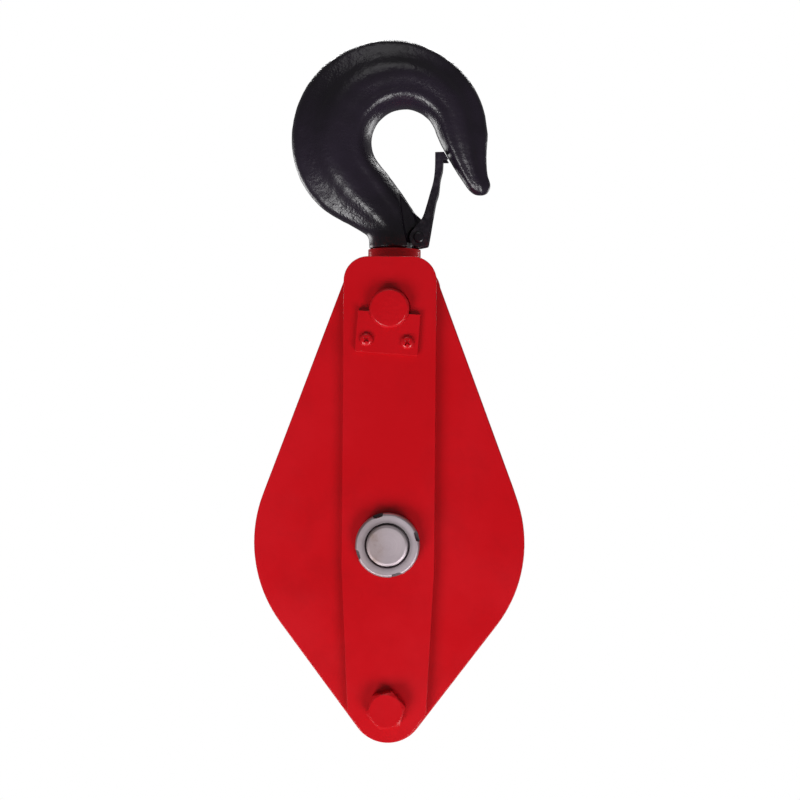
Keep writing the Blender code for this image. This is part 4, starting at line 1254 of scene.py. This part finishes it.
def sheave_section(centre):
    """The sheave's section: round rope groove, rounded lips, thin web and a long hub."""
    bottom, groove = 66 * MM, 8 * MM
    flank = math.radians(25)
    rim = reach("front_sheave").x / 2
    hub_half = reach("front_sheave").y / 2
    sweep = math.pi / 2 - flank
    curve = []
    for index in range(13):
        angle = sweep * index / 12
        curve.append((bottom + groove - groove * math.cos(angle), groove * math.sin(angle)))
    last_radius, last_half = curve[-1]
    lip = last_half + (rim - last_radius) * math.tan(flank)
    corners = [(rim, lip), (rim, 17 * MM), (58 * MM, 17 * MM), (53 * MM, 6.5 * MM), (33.5 * MM, 6.5 * MM)]
    corners += [(31 * MM, hub_half), (21.3 * MM, hub_half)]
    half = curve + eased([curve[-1], *corners], 1.6 * MM)[1:]
    mirrored = [(radius, -height) for radius, height in half[1:]]
    return [(radius, centre + height) for radius, height in half + mirrored[::-1]]


def make_sheaves():
    """The two sheaves and their bushes."""
    for name, _ in SIDES:
        centre = middle(f"{name}_sheave").y
        wheel = thing(f"{name}_grooved_sheave", turned(sheave_section(centre), "Y", 160, (0, 0, AXLE_Z)))
        present(wheel, f"{name}_sheave", [f"{name}_sheave"], SHEAVE_IRON)
        low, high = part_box(f"{name}_bush")
        section = ring_section(JOURNAL_RADIUS + GAP, high.x, low.y, high.y, 0.5 * MM)
        bush = thing(f"{name}_bearing_bush", turned(section, "Y", 96, (0, 0, AXLE_Z)))
        present(bush, f"{name}_sheave", [f"{name}_bush"], BRONZE)


# ---------------------------------------------------------------- stage, lights, camera


def white_to_camera(tree, dim, kind, sink):
    """Show plain white to the camera, in place of the dim shader that lights the block."""
    wiring = Wiring(tree)
    white = wiring.place(kind, Color=(1, 1, 1, 1), Strength=1.0)
    mix = wiring.place("MixShader", Fac=wiring.place("LightPath").outputs["Is Camera Ray"])
    wiring.feed(mix.inputs[1], dim.outputs[0])
    wiring.feed(mix.inputs[2], white.outputs[0])
    wiring.feed(tree.nodes[sink].inputs["Surface"], mix.outputs[0])


def studio_paper():
    """White paper for the floor, which throws little light back at the block."""
    material = bpy.data.materials.new("studio_paper")
    material.use_nodes = True
    dull = material.node_tree.nodes["Principled BSDF"]
    dull.inputs["Base Color"].default_value = (0.2, 0.2, 0.2, 1)
    dull.inputs["Roughness"].default_value = 0.9
    dull.inputs["Specular IOR Level"].default_value = 0.1
    white_to_camera(material.node_tree, dull, "Emission", "Material Output")
    return material


def studio_air():
    """Air that looks white, and lights the block only dimly so that its gloss stays deep."""
    world = bpy.data.worlds.new("studio_air")
    world.use_nodes = True
    dim = world.node_tree.nodes["Background"]
    dim.inputs["Color"].default_value = (1, 1, 1, 1)
    dim.inputs["Strength"].default_value = 0.12
    white_to_camera(world.node_tree, dim, "Background", "World Output")
    return world


FLOOR_RADIUS = 3.2
FLOOR_DROP = 1.75
LIGHT_TARGET = Vector((0, 0, -0.2))
CAMERA_TARGET = Vector((4.9, 0, -211.9)) * MM
CAMERA_DISTANCE = 1.121
# Soft lights round the block: name, place in metres, size, power in watts.
LIGHTS = (
    ("low_left", (-1.05, -1.50, -1.65), 1.15, 35.5),
    ("low_right", (1.05, -1.55, -1.65), 1.15, 31.5),
    ("high_front", (-0.30, -1.30, 1.90), 1.3, 5),
    ("left_side", (-1.95, 1.85, -0.50), 1.2, 18),
    ("right_side", (1.95, 1.85, -0.50), 1.2, 18),
    ("rear_left", (-0.70, 2.20, 1.90), 1.2, 34),
    ("rear_right", (0.70, 2.20, 1.90), 1.2, 34),
)


def make_studio():
    """A pale floor under the block, pale air round it, and soft lights."""
    floor = bmesh.new()
    bmesh.ops.create_circle(floor, cap_ends=True, segments=96, radius=FLOOR_RADIUS)
    bmesh.ops.translate(floor, vec=(0, 0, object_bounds()[0][2] - FLOOR_DROP), verts=floor.verts)
    floor = thing("studio_floor", floor)
    floor.data.materials.append(studio_paper())
    bpy.context.scene.world = studio_air()
    for name, place, size, power in LIGHTS:
        light = bpy.data.lights.new(name, "AREA")
        light.size = size
        light.energy = power
        lamp = bpy.data.objects.new(name, light)
        lamp.location = place
        lamp.rotation_euler = (LIGHT_TARGET - Vector(place)).to_track_quat("-Z", "Y").to_euler()
        bpy.context.scene.collection.objects.link(lamp)
    bpy.context.scene.view_settings.view_transform = "Standard"


def make_camera():
    """A long lens a little to the right of the block's front."""
    turn, rise, roll = math.radians(2.94), math.radians(0.67), math.radians(0.45)
    away = Vector((math.sin(turn) * math.cos(rise), -math.cos(turn) * math.cos(rise), math.sin(rise)))
    lens = bpy.data.cameras.new("front_camera")
    lens.lens = 68.8
    lens.sensor_width = 36
    camera = bpy.data.objects.new("front_camera", lens)
    camera.location = CAMERA_TARGET + away * CAMERA_DISTANCE
    facing = (-away).to_track_quat("-Z", "Y").to_matrix().to_4x4()
    camera.rotation_euler = (facing @ Matrix.Rotation(roll, 4, "Z")).to_euler()
    bpy.context.scene.collection.objects.link(camera)
    bpy.context.scene.camera = camera


make_hook()
make_latch()
make_crosshead()
make_bearing()
make_hook_nut()
make_plates()
make_keepers()
make_tie_bolt()
make_axle()
make_sheaves()
make_studio()
make_camera()
